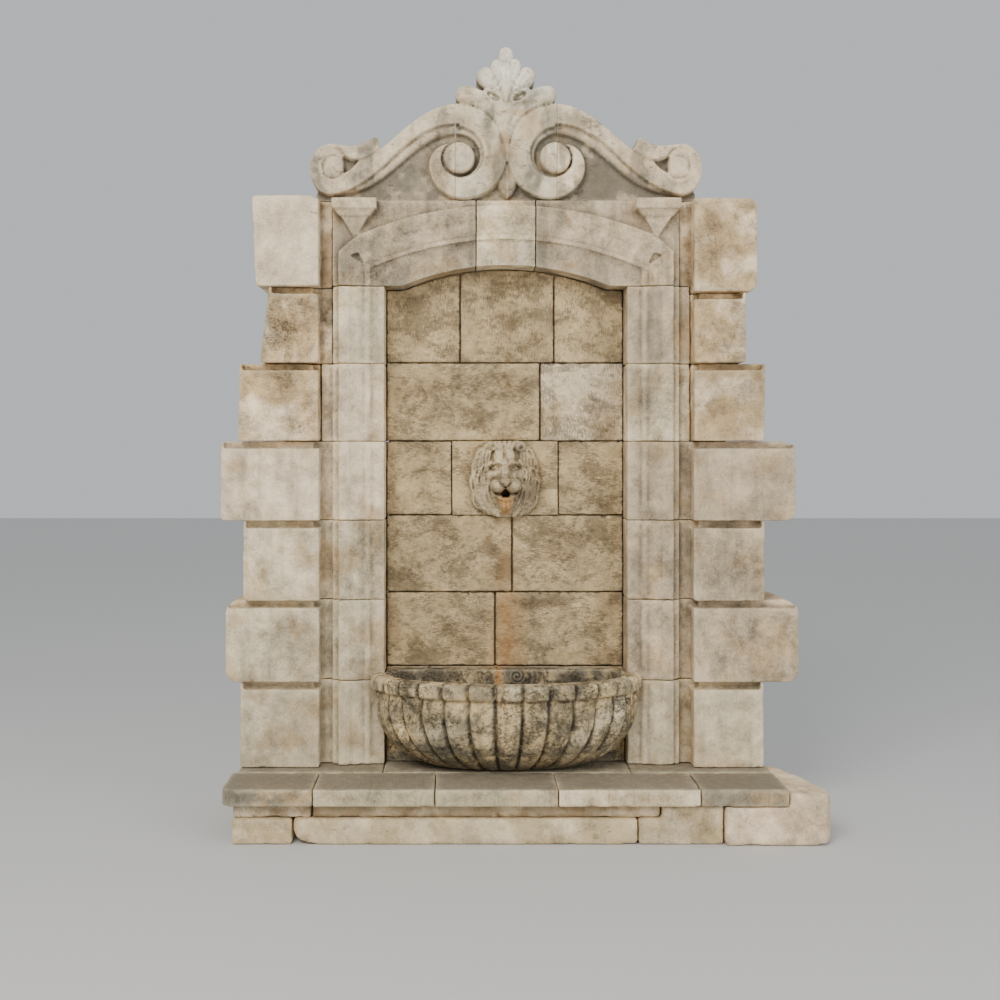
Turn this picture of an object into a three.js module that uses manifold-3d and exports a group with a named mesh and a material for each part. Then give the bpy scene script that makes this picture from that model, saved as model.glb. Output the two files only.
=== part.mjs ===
// A stone wall fountain: rusticated piers, moulded jambs and a three-stone arch frame a coursed panel
// with a carved lion mask, over a gadrooned half-round basin on a slab plinth, under a scrolled pediment.
// Millimetres, +Z up. The front looks along -Y. The origin is on the ground, on the centre line,
// in the plane of the jambs' foremost moulding.

import * as THREE from 'three';
import { mergeVertices } from 'three/addons/utils/BufferGeometryUtils.js';
import Module from 'manifold-3d';

const wasm = await Module();
wasm.setup();

// Depths, measured back from the jambs' foremost moulding. Negative is nearer the viewer.
const wallBackY = 300;
const panelFaceY = 130;
const fasciaY = 19;
const beadY = 11;
const ovoloDeepY = 22;
const bandY = 0;
const stripY = 38;
const bossY = -37;
const channelY = 8;

// Joints between stones
const bedGap = 0.3;
const uprightGap = 2;

// How far a cutting shape runs past the stone it cuts
const beyond = 100;

// Plinth
const beamHeight = 97;
const levellingHeight = 48;
const slabThickness = 67;
const slabFrontY = -340;
const slabBackY = -96;
const beamFrontY = -320;
const levellingFrontY = -300;
const endBlockFrontY = -337;
const endBlockDrop = 18;
const plinthLeft = 1079;
const slabJoint1 = -735;
const slabJoint2 = -279;
const slabJoint3 = 182;
const slabJoint4 = 713;
const plinthRight = 1043;
const slabEndRadius = 45;
const backSlabRight = 1036;
const baseLeftEnd = 1040;
const beamLeftEnd = 811;
const beamRightEnd = 480;
const beamWornCorner = 95;
const baseBlockRight = 802;
const levellingJoint = -742;
const levellingRight = 569;
const endBlockRight = 1203;
const endBlockCorner = 55;

// Courses of the piers, from the plinth up
const course1Height = 338;
const course2Height = 324;
const course3Height = 318;
const course4Height = 317;
const course5Height = 311;
const course6Height = 312;
const course7Height = 345;

// Jamb mouldings, from the niche outwards
const nicheHalf = 487;
const fasciaWidth = 60;
const beadWidth = 19;
const ovoloWidth = 64;
const bandWidth = 42.5;
const marginWidth = 24.5;
const stripWidth = 46.5;

// Quoins: how far each reaches from the centre line, from the plinth up
const leftReach = [1058, 1117, 1046, 1135, 1066, 978, 997];
const leftReachTop = [1058, 1117, 1046, 1135, 1060, 943, 1010];
const leftCorner = [8, 45, 10, 16, 14, 10, 12];
const rightReach = [1022, 1161, 1026, 1149, 1026, 951, 996];
const rightReachTop = [1022, 1161, 1026, 1149, 1026, 951, 996];
const rightCorner = [8, 42, 10, 36, 10, 10, 34];
const channelHeight = 28;
const channelInset = 28;
const channelEndInset = 12;
const leftQuoinTopRise = 11;
const leftQuoinJointDrop = 7;
const rightQuoinJointDrop = 29;

// Arch: height of each line above the springing, at the crown and at its end, and its half length
const intradosHalf = 416;
const intradosRise = 84;
const archBeadRise = 188;
const archBeadEndRise = 70;
const archOvoloRise = 203;
const archOvoloEndRise = 78;
const archBandRise = 276;
const archBandEndRise = 134;
const archBandHalf = 592;
const archOuterRise = 325;
const archOuterEndRise = 207;
const archOuterHalf = 588;
const keystoneHalf = 119.5;

// Corbels carved on the springers
const corbelX = 606;
const corbelHalf = 90;
const corbelWaistHalf = 61;
const corbelCapHeight = 42;
const corbelSlopeHeight = 27;
const corbelHeight = 152;
const corbelY = -42;
const corbelWaistY = -20;

// Panel courses, above the plinth
const panelBed1 = 374;
const panelBed2 = 678;
const panelBed3 = 994;
const panelBed4 = 1298;
const panelBed5 = 1619;

// Lion mask
const maskZ = 1147;
const maskHalfWidth = 137;
const maskHalfHeight = 161;
const maskProud = 112;
const maskMouthZ = -63;
const mouthHalfWidth = 18;
const mouthHalfHeight = 15;
const mouthDepth = 45;

// Basin
const basinHeight = 374;
const basinHalf = 545;
const basinDepth = 300;
const basinFootShare = 0.45;
const basinUnderLipShare = 0.972;
const basinBackFaceY = 62;
const basinSideGap = 3;
const basinWall = 64;
const basinFloor = 95;
const basinLip = 70;
const gadroons = 15;
const gadroonPitch = THREE.MathUtils.degToRad(11.6);
const gadroonDepth = 17;

// Pediment, above the top of the arch
const pedimentJoint = 204;
const pedimentReach = 766;
const pedimentBackY = 215;
const tympanumY = 42;
const scrollY = 0;
const scrollMouldingY = 19;
const scrollTopZ = 385;
const scrollWidth = 82;
const scrollFootX = 702;
const endScrollX = 700;
const endScrollZ = 122;
const endScrollHalfWidth = 88;
const endScrollHalfHeight = 104;
const endEyeRadius = 41;
const leftLeafTipX = 525;
const rightLeafTipX = 539;
const leafTipZ = 252;
const leafY = -10;
const voluteX = 197;
const voluteZ = 176;
const voluteEyeRadius = 65;
const voluteEyeY = -6;
const palmetteTopZ = 613;
const palmetteY = -8;
const dropLeafHalf = 44;

const slabTopZ = beamHeight + levellingHeight + slabThickness;
const courseHeights = [
  course1Height, course2Height, course3Height, course4Height, course5Height, course6Height, course7Height,
];
const bedZ = [slabTopZ];
for (const height of courseHeights) bedZ.push(bedZ.at(-1) + height);
const springZ = bedZ[6];
const wallTopZ = bedZ[7];
const beadX = nicheHalf + fasciaWidth;
const ovoloX = beadX + beadWidth;
const bandX = ovoloX + ovoloWidth;
const marginX = bandX + bandWidth;
const stripX = marginX + marginWidth;
const bossX = stripX + stripWidth;

// Colours, and the finish that each stone shows
const stone = (color, roughness = 0.9) => {
  return new THREE.MeshStandardMaterial({ color, roughness, metalness: 0 });
};
const creamStone = stone(0xcdc5b4);
const paleQuoin = stone(0xd6cebb);
const tanQuoin = stone(0xbda987);
const carvedStone = stone(0xc8bfae);
const ochreStone = stone(0xa9966f, 0.95);
const basinStone = stone(0x857a62, 0.95);
const slabStone = stone(0xa9a391);
const baseStone = stone(0xb7a688, 0.95);

const fountain = new THREE.Group();
fountain.name = 'wall_fountain';

function add(name, solid, material) {
  const mesh = new THREE.Mesh(toGeometry(solid), material);
  mesh.name = name;
  fountain.add(mesh);
}

// A closed mesh as a solid, whichever way its triangles were wound
function toSolid(geometry) {
  const bare = geometry.clone();
  bare.deleteAttribute('normal');
  bare.deleteAttribute('uv');
  const merged = mergeVertices(bare, 1e-3);
  const vertProperties = new Float32Array(merged.attributes.position.array);
  const triVerts = Uint32Array.from(merged.index.array);
  if (signedVolume(vertProperties, triVerts) < 0) triVerts.reverse();
  return new wasm.Manifold(new wasm.Mesh({ numProp: 3, vertProperties, triVerts }));
}

function signedVolume(points, triangles) {
  const corner = [new THREE.Vector3(), new THREE.Vector3(), new THREE.Vector3()];
  let volume = 0;
  for (let i = 0; i < triangles.length; i += 3) {
    corner.forEach((vector, k) => vector.fromArray(points, 3 * triangles[i + k]));
    volume += corner[0].dot(corner[1].clone().cross(corner[2])) / 6;
  }
  return volume;
}

function toGeometry(solid) {
  const mesh = solid.getMesh();
  const geometry = new THREE.BufferGeometry();
  geometry.setAttribute('position', new THREE.BufferAttribute(mesh.vertProperties, 3));
  geometry.setIndex(new THREE.BufferAttribute(mesh.triVerts, 1));
  geometry.computeVertexNormals();
  return geometry;
}

const join = (solids) => solids.reduce((whole, piece) => whole.add(piece));

function box(x0, x1, y0, y1, z0, z1) {
  const geometry = new THREE.BoxGeometry(x1 - x0, y1 - y0, z1 - z0);
  geometry.translate((x0 + x1) / 2, (y0 + y1) / 2, (z0 + z1) / 2);
  return toSolid(geometry);
}

// An outline seen from the front, [x, z], run back from frontY to backY
function frontPrism(outline, frontY, backY) {
  const shape = new THREE.Shape(outline.map(([x, z]) => new THREE.Vector2(x, z)));
  const geometry = new THREE.ExtrudeGeometry(shape, { depth: backY - frontY, bevelEnabled: false });
  geometry.rotateX(Math.PI / 2);
  geometry.translate(0, backY, 0);
  return toSolid(geometry);
}

// An outline seen from above, [x, y], run up from z0 to z1
function planPrism(outline, z0, z1) {
  const shape = new THREE.Shape(outline.map(([x, y]) => new THREE.Vector2(x, y)));
  const geometry = new THREE.ExtrudeGeometry(shape, { depth: z1 - z0, bevelEnabled: false });
  geometry.translate(0, 0, z0);
  return toSolid(geometry);
}

// Rings of points, all of one length, skinned into a closed solid.
// A fan from its own middle closes each end.
function loft(rings) {
  const count = rings[0].length;
  const positions = rings.flat(2);
  const triangles = [];
  for (let i = 0; i + 1 < rings.length; i++) {
    for (let k = 0; k < count; k++) {
      const next = (k + 1) % count;
      const a = i * count + k;
      const b = i * count + next;
      triangles.push(a, b, b + count, a, b + count, a + count);
    }
  }
  for (const [ring, flip] of [[0, true], [rings.length - 1, false]]) {
    const sumOf = (axis) => rings[ring].reduce((sum, point) => sum + point[axis], 0);
    const middle = [0, 1, 2].map((axis) => sumOf(axis) / count);
    const hub = positions.length / 3;
    positions.push(...middle);
    for (let k = 0; k < count; k++) {
      const a = ring * count + k;
      const b = ring * count + ((k + 1) % count);
      triangles.push(...(flip ? [hub, b, a] : [hub, a, b]));
    }
  }
  const geometry = new THREE.BufferGeometry();
  geometry.setAttribute('position', new THREE.Float32BufferAttribute(positions, 3));
  geometry.setIndex(triangles);
  return toSolid(geometry);
}

// Points of an ellipse's arc, from one angle to another, in degrees from +x towards +z
function arc(cx, cz, rx, rz, from, to, steps) {
  const points = [];
  for (let i = 0; i <= steps; i++) {
    const angle = THREE.MathUtils.degToRad(from + ((to - from) * i) / steps);
    points.push([cx + rx * Math.cos(angle), cz + rz * Math.sin(angle)]);
  }
  return points;
}

function bezier(start, handle1, handle2, end, steps) {
  const vectors = [start, handle1, handle2, end].map(([x, z]) => new THREE.Vector2(x, z));
  return new THREE.CubicBezierCurve(...vectors).getPoints(steps).map((point) => [point.x, point.y]);
}

const mirrored = (points, side) => points.map(([x, z]) => [side * x, z]);

// Piers

// The jamb's front, seen from above, from the niche out to the boss
function jambProfile() {
  const points = [
    [nicheHalf, fasciaY],
    [beadX, fasciaY],
    [beadX, beadY],
    [ovoloX, beadY],
    [ovoloX, ovoloDeepY],
  ];
  for (const degrees of [30, 60, 90]) {
    const angle = THREE.MathUtils.degToRad(degrees);
    const rise = (ovoloDeepY - bandY - 2) * Math.sin(angle);
    points.push([bandX - ovoloWidth * Math.cos(angle), ovoloDeepY - rise]);
  }
  points.push([bandX, bandY], [marginX, bandY], [marginX, fasciaY], [stripX, fasciaY]);
  points.push([stripX, stripY], [bossX, stripY]);
  return points;
}

function withinReach(points, from, to) {
  return points.filter(([x]) => x >= from - 0.01 && x <= to + 0.01);
}

// A stone of a pier between two distances from the centre line, with its boss if it reaches that far
function pierStone({ side, from, z0, z1, reach, reachTop, corner = 10, to = null, channel = true }) {
  const end = to ?? Math.max(reach, reachTop);
  const front = withinReach(jambProfile(), from, Math.min(end, bossX));
  if (from === stripX) front.splice(0, front.length, [stripX, stripY], [bossX, stripY]);
  if (from === bossX) front.length = 0;
  if (to === stripX) front.pop();
  const outline = to === null ? [...front, [bossX, bossY], [end, bossY]] : front;
  const plan = [...outline, [end, wallBackY], [from, wallBackY]];
  let solid = planPrism(mirrored(plan, side), z0, z1);
  if (to !== null) return solid;
  const face = [
    [from - 1, z0 - 1],
    [from - 1, z1 + 1],
    [reachTop - corner, z1 + 1],
    ...arc(reachTop - corner, z1 - corner, corner, corner, 90, 0, 3),
    ...arc(reach - corner, z0 + corner, corner, corner, 0, -90, 3),
    [reach - corner, z0 - 1],
  ];
  solid = solid.intersect(frontPrism(mirrored(face, side), bossY - 10, wallBackY + 10));
  if (!channel) return solid;
  const cut = (x0, x1, floorY) => {
    const [low, high] = [side * x0, side * x1].sort((a, b) => a - b);
    return box(low, high, bossY - 10, floorY, z1 - channelHeight, z1 + 10);
  };
  const outer = Math.min(reach, reachTop) - channelEndInset;
  return solid.subtract(cut(bossX, bossX + channelInset, stripY)).subtract(cut(bossX, outer, channelY));
}

function buildPier(sideName, side, reaches, reachTops, corners, stripOnJamb) {
  const quoinJoint6 = bedZ[6] - (side > 0 ? rightQuoinJointDrop : leftQuoinJointDrop);
  const quoinTop = wallTopZ + (side > 0 ? 0 : leftQuoinTopRise);
  for (let course = 1; course <= 7; course++) {
    const i = course - 1;
    const z0 = bedZ[i] + bedGap;
    const z1 = bedZ[i + 1];
    const shared = { side, reach: reaches[i], reachTop: reachTops[i], corner: corners[i] };
    if (course <= 4) {
      const stoneSolid = pierStone({ ...shared, from: nicheHalf, z0, z1 });
      const look = course === 4 || course === 2 ? paleQuoin : creamStone;
      add(`${sideName}_pier_stone_${course}`, stoneSolid, look);
      continue;
    }
    const joint = stripOnJamb[course] ? bossX : stripX;
    const low = course === 7 ? quoinJoint6 + bedGap : z0;
    const high = { 6: quoinJoint6, 7: quoinTop }[course] ?? z1;
    let quoin = pierStone({ ...shared, from: joint, z0: low, z1: high, channel: course < 7 });
    if (course === 7) quoin = quoin.subtract(jambBelowSpringing(side, stripOnJamb[6]));
    if (course === 7 && side < 0) quoin = quoin.subtract(besidePediment(side));
    add(`${sideName}_quoin_${course}`, shifted(quoin, side), course === 7 ? paleQuoin : tanQuoin);
    if (course < 7) {
      const jamb = pierStone({ side, from: nicheHalf, to: joint, z0, z1 });
      add(`${sideName}_jamb_${course}`, jamb, creamStone);
    }
  }
}

// The top quoin starts lower than the arch. Down there it stands beside the jamb, and beside its strip.
function jambBelowSpringing(side, stripOnJamb) {
  const [low, high] = [side * (stripX - 5), side * (stripOnJamb ? bossX : stripX)].sort((a, b) => a - b);
  return box(low, high, -100, wallBackY + 5, springZ - 100, springZ + bedGap);
}

// The left quoin's raised top is cut down where the pediment passes over it
function besidePediment(side) {
  const [low, high] = [side * (stripX - 5), side * (pedimentReach + uprightGap)].sort((a, b) => a - b);
  return box(low, high, -100, wallBackY + 5, wallTopZ, wallTopZ + 100);
}

// A quoin that is a stone of its own stands an open joint away from its jamb
function shifted(solid, side) {
  return solid.translate(side * uprightGap, 0, 0);
}

// Arch

// Height of a circular line of the arch at a distance from the centre, above the springing
function archLine(crownRise, endRise, half, x) {
  const rise = crownRise - endRise;
  const radius = (half * half + rise * rise) / (2 * rise);
  const reach = Math.min(Math.abs(x), radius * 0.999);
  return springZ + crownRise - radius + Math.sqrt(radius * radius - reach * reach);
}

const intrados = (x) => archLine(intradosRise, 0, intradosHalf, x);
const beadLine = (x) => archLine(archBeadRise, archBeadEndRise, beadX, x);
const ovoloLine = (x) => archLine(archOvoloRise, archOvoloEndRise, ovoloX, x);
const bandLine = (x) => archLine(archBandRise, archBandEndRise, archBandHalf, x);
const outerLine = (x) => archLine(archOuterRise, archOuterEndRise, archOuterHalf, x);

// A band of the arch between two lines. The front runs from lowY to highY and bulges if they differ.
function archBand(lowLine, lowHalf, highLine, highHalf, lowY, highY) {
  const embedY = 60;
  const steps = 18;
  const rings = [];
  for (let i = 0; i <= steps; i++) {
    const share = (2 * i) / steps - 1;
    const low = [share * lowHalf, lowLine(share * lowHalf)];
    const high = [share * highHalf, highLine(share * highHalf)];
    const ring = [[low[0], embedY, low[1]], [low[0], lowY, low[1]]];
    if (lowY !== highY) {
      for (const degrees of [30, 60]) {
        const angle = THREE.MathUtils.degToRad(degrees);
        const climb = 1 - Math.cos(angle);
        const y = lowY + (highY - lowY) * Math.sin(angle);
        ring.push([low[0] + (high[0] - low[0]) * climb, y, low[1] + (high[1] - low[1]) * climb]);
      }
    }
    ring.push([high[0], highY, high[1]], [high[0], embedY, high[1]]);
    rings.push(ring);
  }
  return loft(rings);
}

function corbel(side) {
  const tier = (half, y, z) => [
    [side * (corbelX - half), y, z],
    [side * (corbelX + half), y, z],
    [side * (corbelX + half), 60, z],
    [side * (corbelX - half), 60, z],
  ];
  const capZ = wallTopZ - corbelCapHeight;
  const waistZ = capZ - corbelSlopeHeight;
  const tipZ = wallTopZ - corbelHeight;
  const cap = loft([tier(corbelHalf, corbelY, wallTopZ), tier(corbelHalf, corbelY, capZ)]);
  const slopeTop = tier(corbelHalf - 4, corbelY + 4, capZ + 1);
  const slope = loft([slopeTop, tier(corbelWaistHalf, corbelWaistY, waistZ)]);
  const tip = loft([tier(corbelWaistHalf - 5, corbelWaistY + 4, waistZ + 1), tier(3, fasciaY - 4, tipZ)]);
  return join([cap, slope, tip]);
}

// The jamb mouldings run up each springer until the arch's own mouldings take over
function springerMouldings(side) {
  const z0 = springZ + bedGap;
  const beadTop = springZ + archOvoloEndRise;
  const bead = [[beadX, z0], [beadX, springZ + archBeadEndRise], [ovoloX, beadTop], [ovoloX, z0]];
  const bandTop = [
    [archBandHalf - 6, springZ + archBandEndRise],
    [archOuterHalf - 6, springZ + archOuterEndRise],
    [corbelX + 6, springZ + archOuterEndRise - 17],
    [marginX, springZ + archBandEndRise + 4],
  ];
  const band = [[bandX, z0], [bandX, springZ + archBandEndRise - 12], ...bandTop, [marginX, z0]];
  const ovoloFront = withinReach(jambProfile(), ovoloX, bandX).slice(1, -1);
  const ovoloPlan = [...ovoloFront, [bandX + 1, 60], [ovoloX - 1, 60]];
  const ovoloStop = [
    [ovoloX - 5, z0 - 5],
    [ovoloX - 5, springZ + archOvoloEndRise],
    [bandX + 5, springZ + archBandEndRise - 6],
    [bandX + 5, z0 - 5],
  ];
  const ovolo = planPrism(mirrored(ovoloPlan, side), z0, springZ + archBandEndRise);
  return join([
    frontPrism(mirrored(bead, side), beadY, 60),
    frontPrism(mirrored(band, side), bandY, 60),
    ovolo.intersect(frontPrism(mirrored(ovoloStop, side), -20, 80)),
    corbel(side),
  ]);
}

function buildArch() {
  const z0 = springZ + bedGap;
  const soffit = [];
  const steps = 16;
  for (let i = 0; i <= steps; i++) {
    const x = intradosHalf * (1 - (2 * i) / steps);
    soffit.push([x, Math.max(intrados(x), z0)]);
  }
  const face = [[-stripX, z0], [-stripX, wallTopZ], [stripX, wallTopZ], [stripX, z0], ...soffit];
  const whole = join([
    frontPrism(face, fasciaY, wallBackY),
    archBand(beadLine, beadX, ovoloLine, ovoloX, beadY, beadY),
    archBand(ovoloLine, ovoloX, bandLine, archBandHalf, ovoloDeepY - 4, bandY + 2),
    archBand(bandLine, archBandHalf, outerLine, archOuterHalf, bandY, bandY),
    springerMouldings(-1),
    springerMouldings(1),
  ]);
  const between = (x0, x1) => {
    return whole.intersect(box(x0, x1, -beyond, wallBackY + beyond, springZ - beyond, wallTopZ + beyond));
  };
  const half = uprightGap / 2;
  add('arch_springer_left', between(-stripX - beyond, -keystoneHalf - half), creamStone);
  add('keystone', between(-keystoneHalf + half, keystoneHalf - half), creamStone);
  add('arch_springer_right', between(keystoneHalf + half, stripX + beyond), creamStone);
}

// Panel in the niche

function panelStone(x0, x1, z0, z1) {
  return box(x0, x1, panelFaceY, wallBackY, slabTopZ + z0 + bedGap, slabTopZ + z1);
}

function panelCourse(z0, z1, joints) {
  const edge = nicheHalf - uprightGap;
  const ends = [-edge, ...joints, edge];
  const stones = [];
  for (let i = 0; i + 1 < ends.length; i++) {
    const left = ends[i] + (i > 0 ? uprightGap / 2 : 0);
    const right = ends[i + 1] - (i + 2 < ends.length ? uprightGap / 2 : 0);
    stones.push(panelStone(left, right, z0, z1));
  }
  return stones;
}

function buildPanel() {
  panelCourse(0, panelBed1, []).forEach((solid) => add('panel_foot', solid, ochreStone));
  const side = ['left', 'right'];
  panelCourse(panelBed1, panelBed2, [-40]).forEach((s, i) => add(`panel_2_${side[i]}`, s, ochreStone));
  panelCourse(panelBed2, panelBed3, [30]).forEach((s, i) => add(`panel_3_${side[i]}`, s, ochreStone));
  const [left, middle, right] = panelCourse(panelBed3, panelBed4, [-217, 219]);
  add('panel_4_left', left, ochreStone);
  add('mask_stone', carveMask(middle), ochreStone);
  add('panel_4_right', right, ochreStone);
  panelCourse(panelBed4, panelBed5, [145]).forEach((s, i) => add(`panel_5_${side[i]}`, s, ochreStone));

  // The top course is cut to the curve of the arch
  const crown = springZ - slabTopZ + intradosRise;
  const below = [[-intradosHalf, springZ - 400]];
  for (let i = 0; i <= 14; i++) {
    const x = intradosHalf * ((2 * i) / 14 - 1);
    below.push([x, Math.max(intrados(x), springZ) - 1]);
  }
  below.push([intradosHalf, springZ - 400]);
  const shoulders = box(-600, 600, panelFaceY - 5, wallBackY + 5, springZ - 400, springZ - bedGap);
  const space = frontPrism(below, panelFaceY - 5, wallBackY + 5).add(shoulders);
  const names = ['panel_6_left', 'panel_6_middle', 'panel_6_right'];
  panelCourse(panelBed5, crown, [-184, 202]).forEach((cut, i) => {
    add(names[i], cut.intersect(space), ochreStone);
  });
}

// Lion mask

const bump = (x, z, cx, cz, rx, rz) => Math.exp(-(((x - cx) / rx) ** 2) - ((z - cz) / rz) ** 2);

// How far the mask stands out of the stone, at a place measured from its middle.
// rho runs from 0 there to 1 at the mask's edge.
function maskRelief(x, z, rho, angle) {
  const side = Math.abs(x);
  const mane = 50 * Math.sqrt(Math.max(0, 1 - rho ** 3));
  const locks = 7 * Math.sin(13 * angle + 5 * rho) * THREE.MathUtils.smoothstep(rho, 0.5, 0.8);
  const skull = 42 * bump(x, z, 0, 18, 78, 112);
  const muzzle = 26 * bump(side, z, 30, -34, 34, 30) + 18 * bump(x, z, 0, -30, 40, 44);
  const bridge = 12 * bump(x, z, 0, 25, 17, 52) + 10 * bump(x, z, 0, -18, 20, 14);
  const brow = 13 * bump(side, z, 40, 62, 30, 15);
  const socket = -15 * bump(side, z, 40, 36, 22, 14);
  const eyeball = 9 * bump(side, z, 44, 36, 11, 8);
  const cheek = 8 * bump(side, z, 66, -4, 26, 34);
  const jaw = 24 * bump(x, z, 0, -98, 30, 30);
  const lip = -16 * bump(side, z, 44, -62, 16, 9);
  const ear = 14 * bump(side, z, 64, 132, 17, 15);
  return mane + locks + skull + muzzle + bridge + brow + socket + eyeball + cheek + jaw + lip + ear;
}

function carveMask(block) {
  const rings = 10;
  const segments = 44;
  const centreZ = slabTopZ + maskZ;
  const scale = maskProud / 148;
  const place = (rho, angle) => {
    const [across, up] = [Math.sin(angle), Math.cos(angle)];
    const squareness = (Math.abs(across) ** 2.7 + Math.abs(up) ** 2.7) ** (-1 / 2.7);
    const reach = rho * squareness * (1 + 0.03 * Math.cos(13 * angle));
    return [maskHalfWidth * reach * across, maskHalfHeight * reach * up];
  };
  const positions = [0, panelFaceY - scale * maskRelief(0, 0, 0, 0), centreZ];
  const triangles = [];
  for (let ring = 1; ring <= rings + 1; ring++) {
    const rho = Math.min(ring / rings, 1);
    for (let k = 0; k < segments; k++) {
      const angle = (2 * Math.PI * k) / segments;
      const [x, z] = place(rho, angle);
      const y = panelFaceY - scale * Math.max(maskRelief(x, z, rho, angle), 6);
      positions.push(x, ring > rings ? panelFaceY + 30 : y, centreZ + z);
    }
  }
  const at = (ring, k) => 1 + (ring - 1) * segments + (k % segments);
  for (let k = 0; k < segments; k++) {
    triangles.push(0, at(1, k), at(1, k + 1));
    for (let ring = 1; ring <= rings; ring++) {
      triangles.push(at(ring, k), at(ring + 1, k), at(ring + 1, k + 1));
      triangles.push(at(ring, k), at(ring + 1, k + 1), at(ring, k + 1));
    }
  }
  const hub = positions.length / 3;
  positions.push(0, panelFaceY + 30, centreZ);
  for (let k = 0; k < segments; k++) triangles.push(hub, at(rings + 1, k + 1), at(rings + 1, k));
  const geometry = new THREE.BufferGeometry();
  geometry.setAttribute('position', new THREE.Float32BufferAttribute(positions, 3));
  geometry.setIndex(triangles);
  const inFront = box(-400, 400, -200, panelFaceY - bedGap, centreZ - 400, centreZ + 400);
  const ownFace = box(-200, 200, -200, wallBackY, slabTopZ + panelBed3 + 1, slabTopZ + panelBed4 - 1);
  const head = toSolid(geometry).intersect(inFront.add(ownFace));

  const mouthZ = centreZ + maskMouthZ;
  const mouthRing = arc(0, mouthZ, mouthHalfWidth, mouthHalfHeight, 0, 315, 7);
  return block.add(head).subtract(frontPrism(mouthRing, -50, panelFaceY + mouthDepth));
}

// Basin

// How wide the bowl is at a height, as a share of its rim, from the foot up
function bowlShare(z) {
  const share = THREE.MathUtils.clamp(z / (basinHeight - basinLip), 0, 1);
  return basinFootShare + (basinUnderLipShare - basinFootShare) * (1 - (1 - share) ** 2.5) ** 0.62;
}

function bowlRing(z, widthShare, lobeDepth, backY) {
  const depth = basinDepth * widthShare ** 1.7;
  const half = basinHalf * widthShare;
  const stepsPerLobe = 4;
  const steps = gadroons * stepsPerLobe;
  const start = (-gadroons * gadroonPitch) / 2;
  const ring = [[-half, backY, z], [-half, -1, z]];
  for (let i = 0; i <= steps; i++) {
    const angle = start + (gadroonPitch * i) / stepsPerLobe;
    const across = Math.abs(Math.sin((Math.PI * i) / stepsPerLobe));
    const inset = lobeDepth * (1 - Math.sqrt(across));
    const x = (half - inset) * Math.sin(angle);
    const y = -(depth - inset) * Math.cos(angle);
    ring.push([x, Math.min(y, -2), z]);
  }
  ring.push([half, -1, z], [half, backY, z]);
  return ring;
}

function buildBasin() {
  const foot = slabTopZ + bedGap;
  const top = slabTopZ + basinHeight;
  const under = top - basinLip;
  const rings = [];
  for (const share of [0, 0.08, 0.2, 0.36, 0.55, 0.78, 1]) {
    const z = share * (basinHeight - basinLip);
    const lobe = gadroonDepth * (0.45 + 0.55 * Math.sin(Math.PI * Math.min(share + 0.25, 1)));
    rings.push(bowlRing(foot + z, bowlShare(z), lobe, -0.5));
  }
  rings.push(bowlRing(under + 3, basinUnderLipShare - 0.01, gadroonDepth * 0.6, -0.5));
  rings.push(bowlRing(under + 8, 0.992, gadroonDepth * 0.6, -0.5));
  rings.push(bowlRing(top - 24, 1, gadroonDepth * 0.6, -0.5));
  rings.push(bowlRing(top - 7, 0.994, gadroonDepth * 0.55, -0.5));
  rings.push(bowlRing(top, 0.972, gadroonDepth * 0.3, -0.5));
  const tongueHalf = nicheHalf - basinSideGap;
  const backSlab = box(-tongueHalf, tongueHalf, basinBackFaceY, panelFaceY - bedGap, foot, top - 3);
  const neckSection = [];
  for (const share of [0, 0.08, 0.2, 0.36, 0.55, 0.78, 1]) {
    const z = share * (basinHeight - basinLip);
    neckSection.push([Math.min(basinHalf * bowlShare(z), tongueHalf), foot + z]);
  }
  neckSection.push([tongueHalf, top - 3]);
  const neckOutline = [...neckSection, ...mirrored([...neckSection].reverse(), -1)];
  const neck = frontPrism(neckOutline, -1.5, basinBackFaceY + 5);
  const body = join([loft(rings), neck, backSlab]);

  const hollowRing = (z, share) => {
    const half = (basinHalf - basinWall) * share;
    const depth = (basinDepth - basinWall) * share ** 1.5;
    const backHalf = Math.min(half, tongueHalf - basinWall);
    const ring = [[-backHalf, basinBackFaceY, z]];
    for (let i = 0; i <= 20; i++) {
      const angle = -Math.PI / 2 + (Math.PI * i) / 20;
      ring.push([half * Math.sin(angle), -2 - depth * Math.cos(angle), z]);
    }
    ring.push([backHalf, basinBackFaceY, z]);
    return ring;
  };
  const floorZ = foot + basinFloor;
  const hollow = loft([
    hollowRing(floorZ, 0.62),
    hollowRing(floorZ + 35, 0.78),
    hollowRing(floorZ + 95, 0.9),
    hollowRing(floorZ + 180, 0.97),
    hollowRing(top - 20, 0.985),
    hollowRing(top + 1, 1.01),
  ]);
  add('basin', body.subtract(hollow), basinStone);
}

// Plinth

function slab(x0, x1, endRadius = 0) {
  const outline = [[x1, slabBackY - uprightGap], [x0, slabBackY - uprightGap]];
  const corner = arc(x0 + endRadius, slabFrontY + endRadius, endRadius, endRadius, 180, 270, 4);
  outline.push(...(endRadius > 0 ? corner : [[x0, slabFrontY]]));
  outline.push([x1, slabFrontY]);
  return planPrism(outline, slabTopZ - slabThickness + bedGap, slabTopZ);
}

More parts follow.
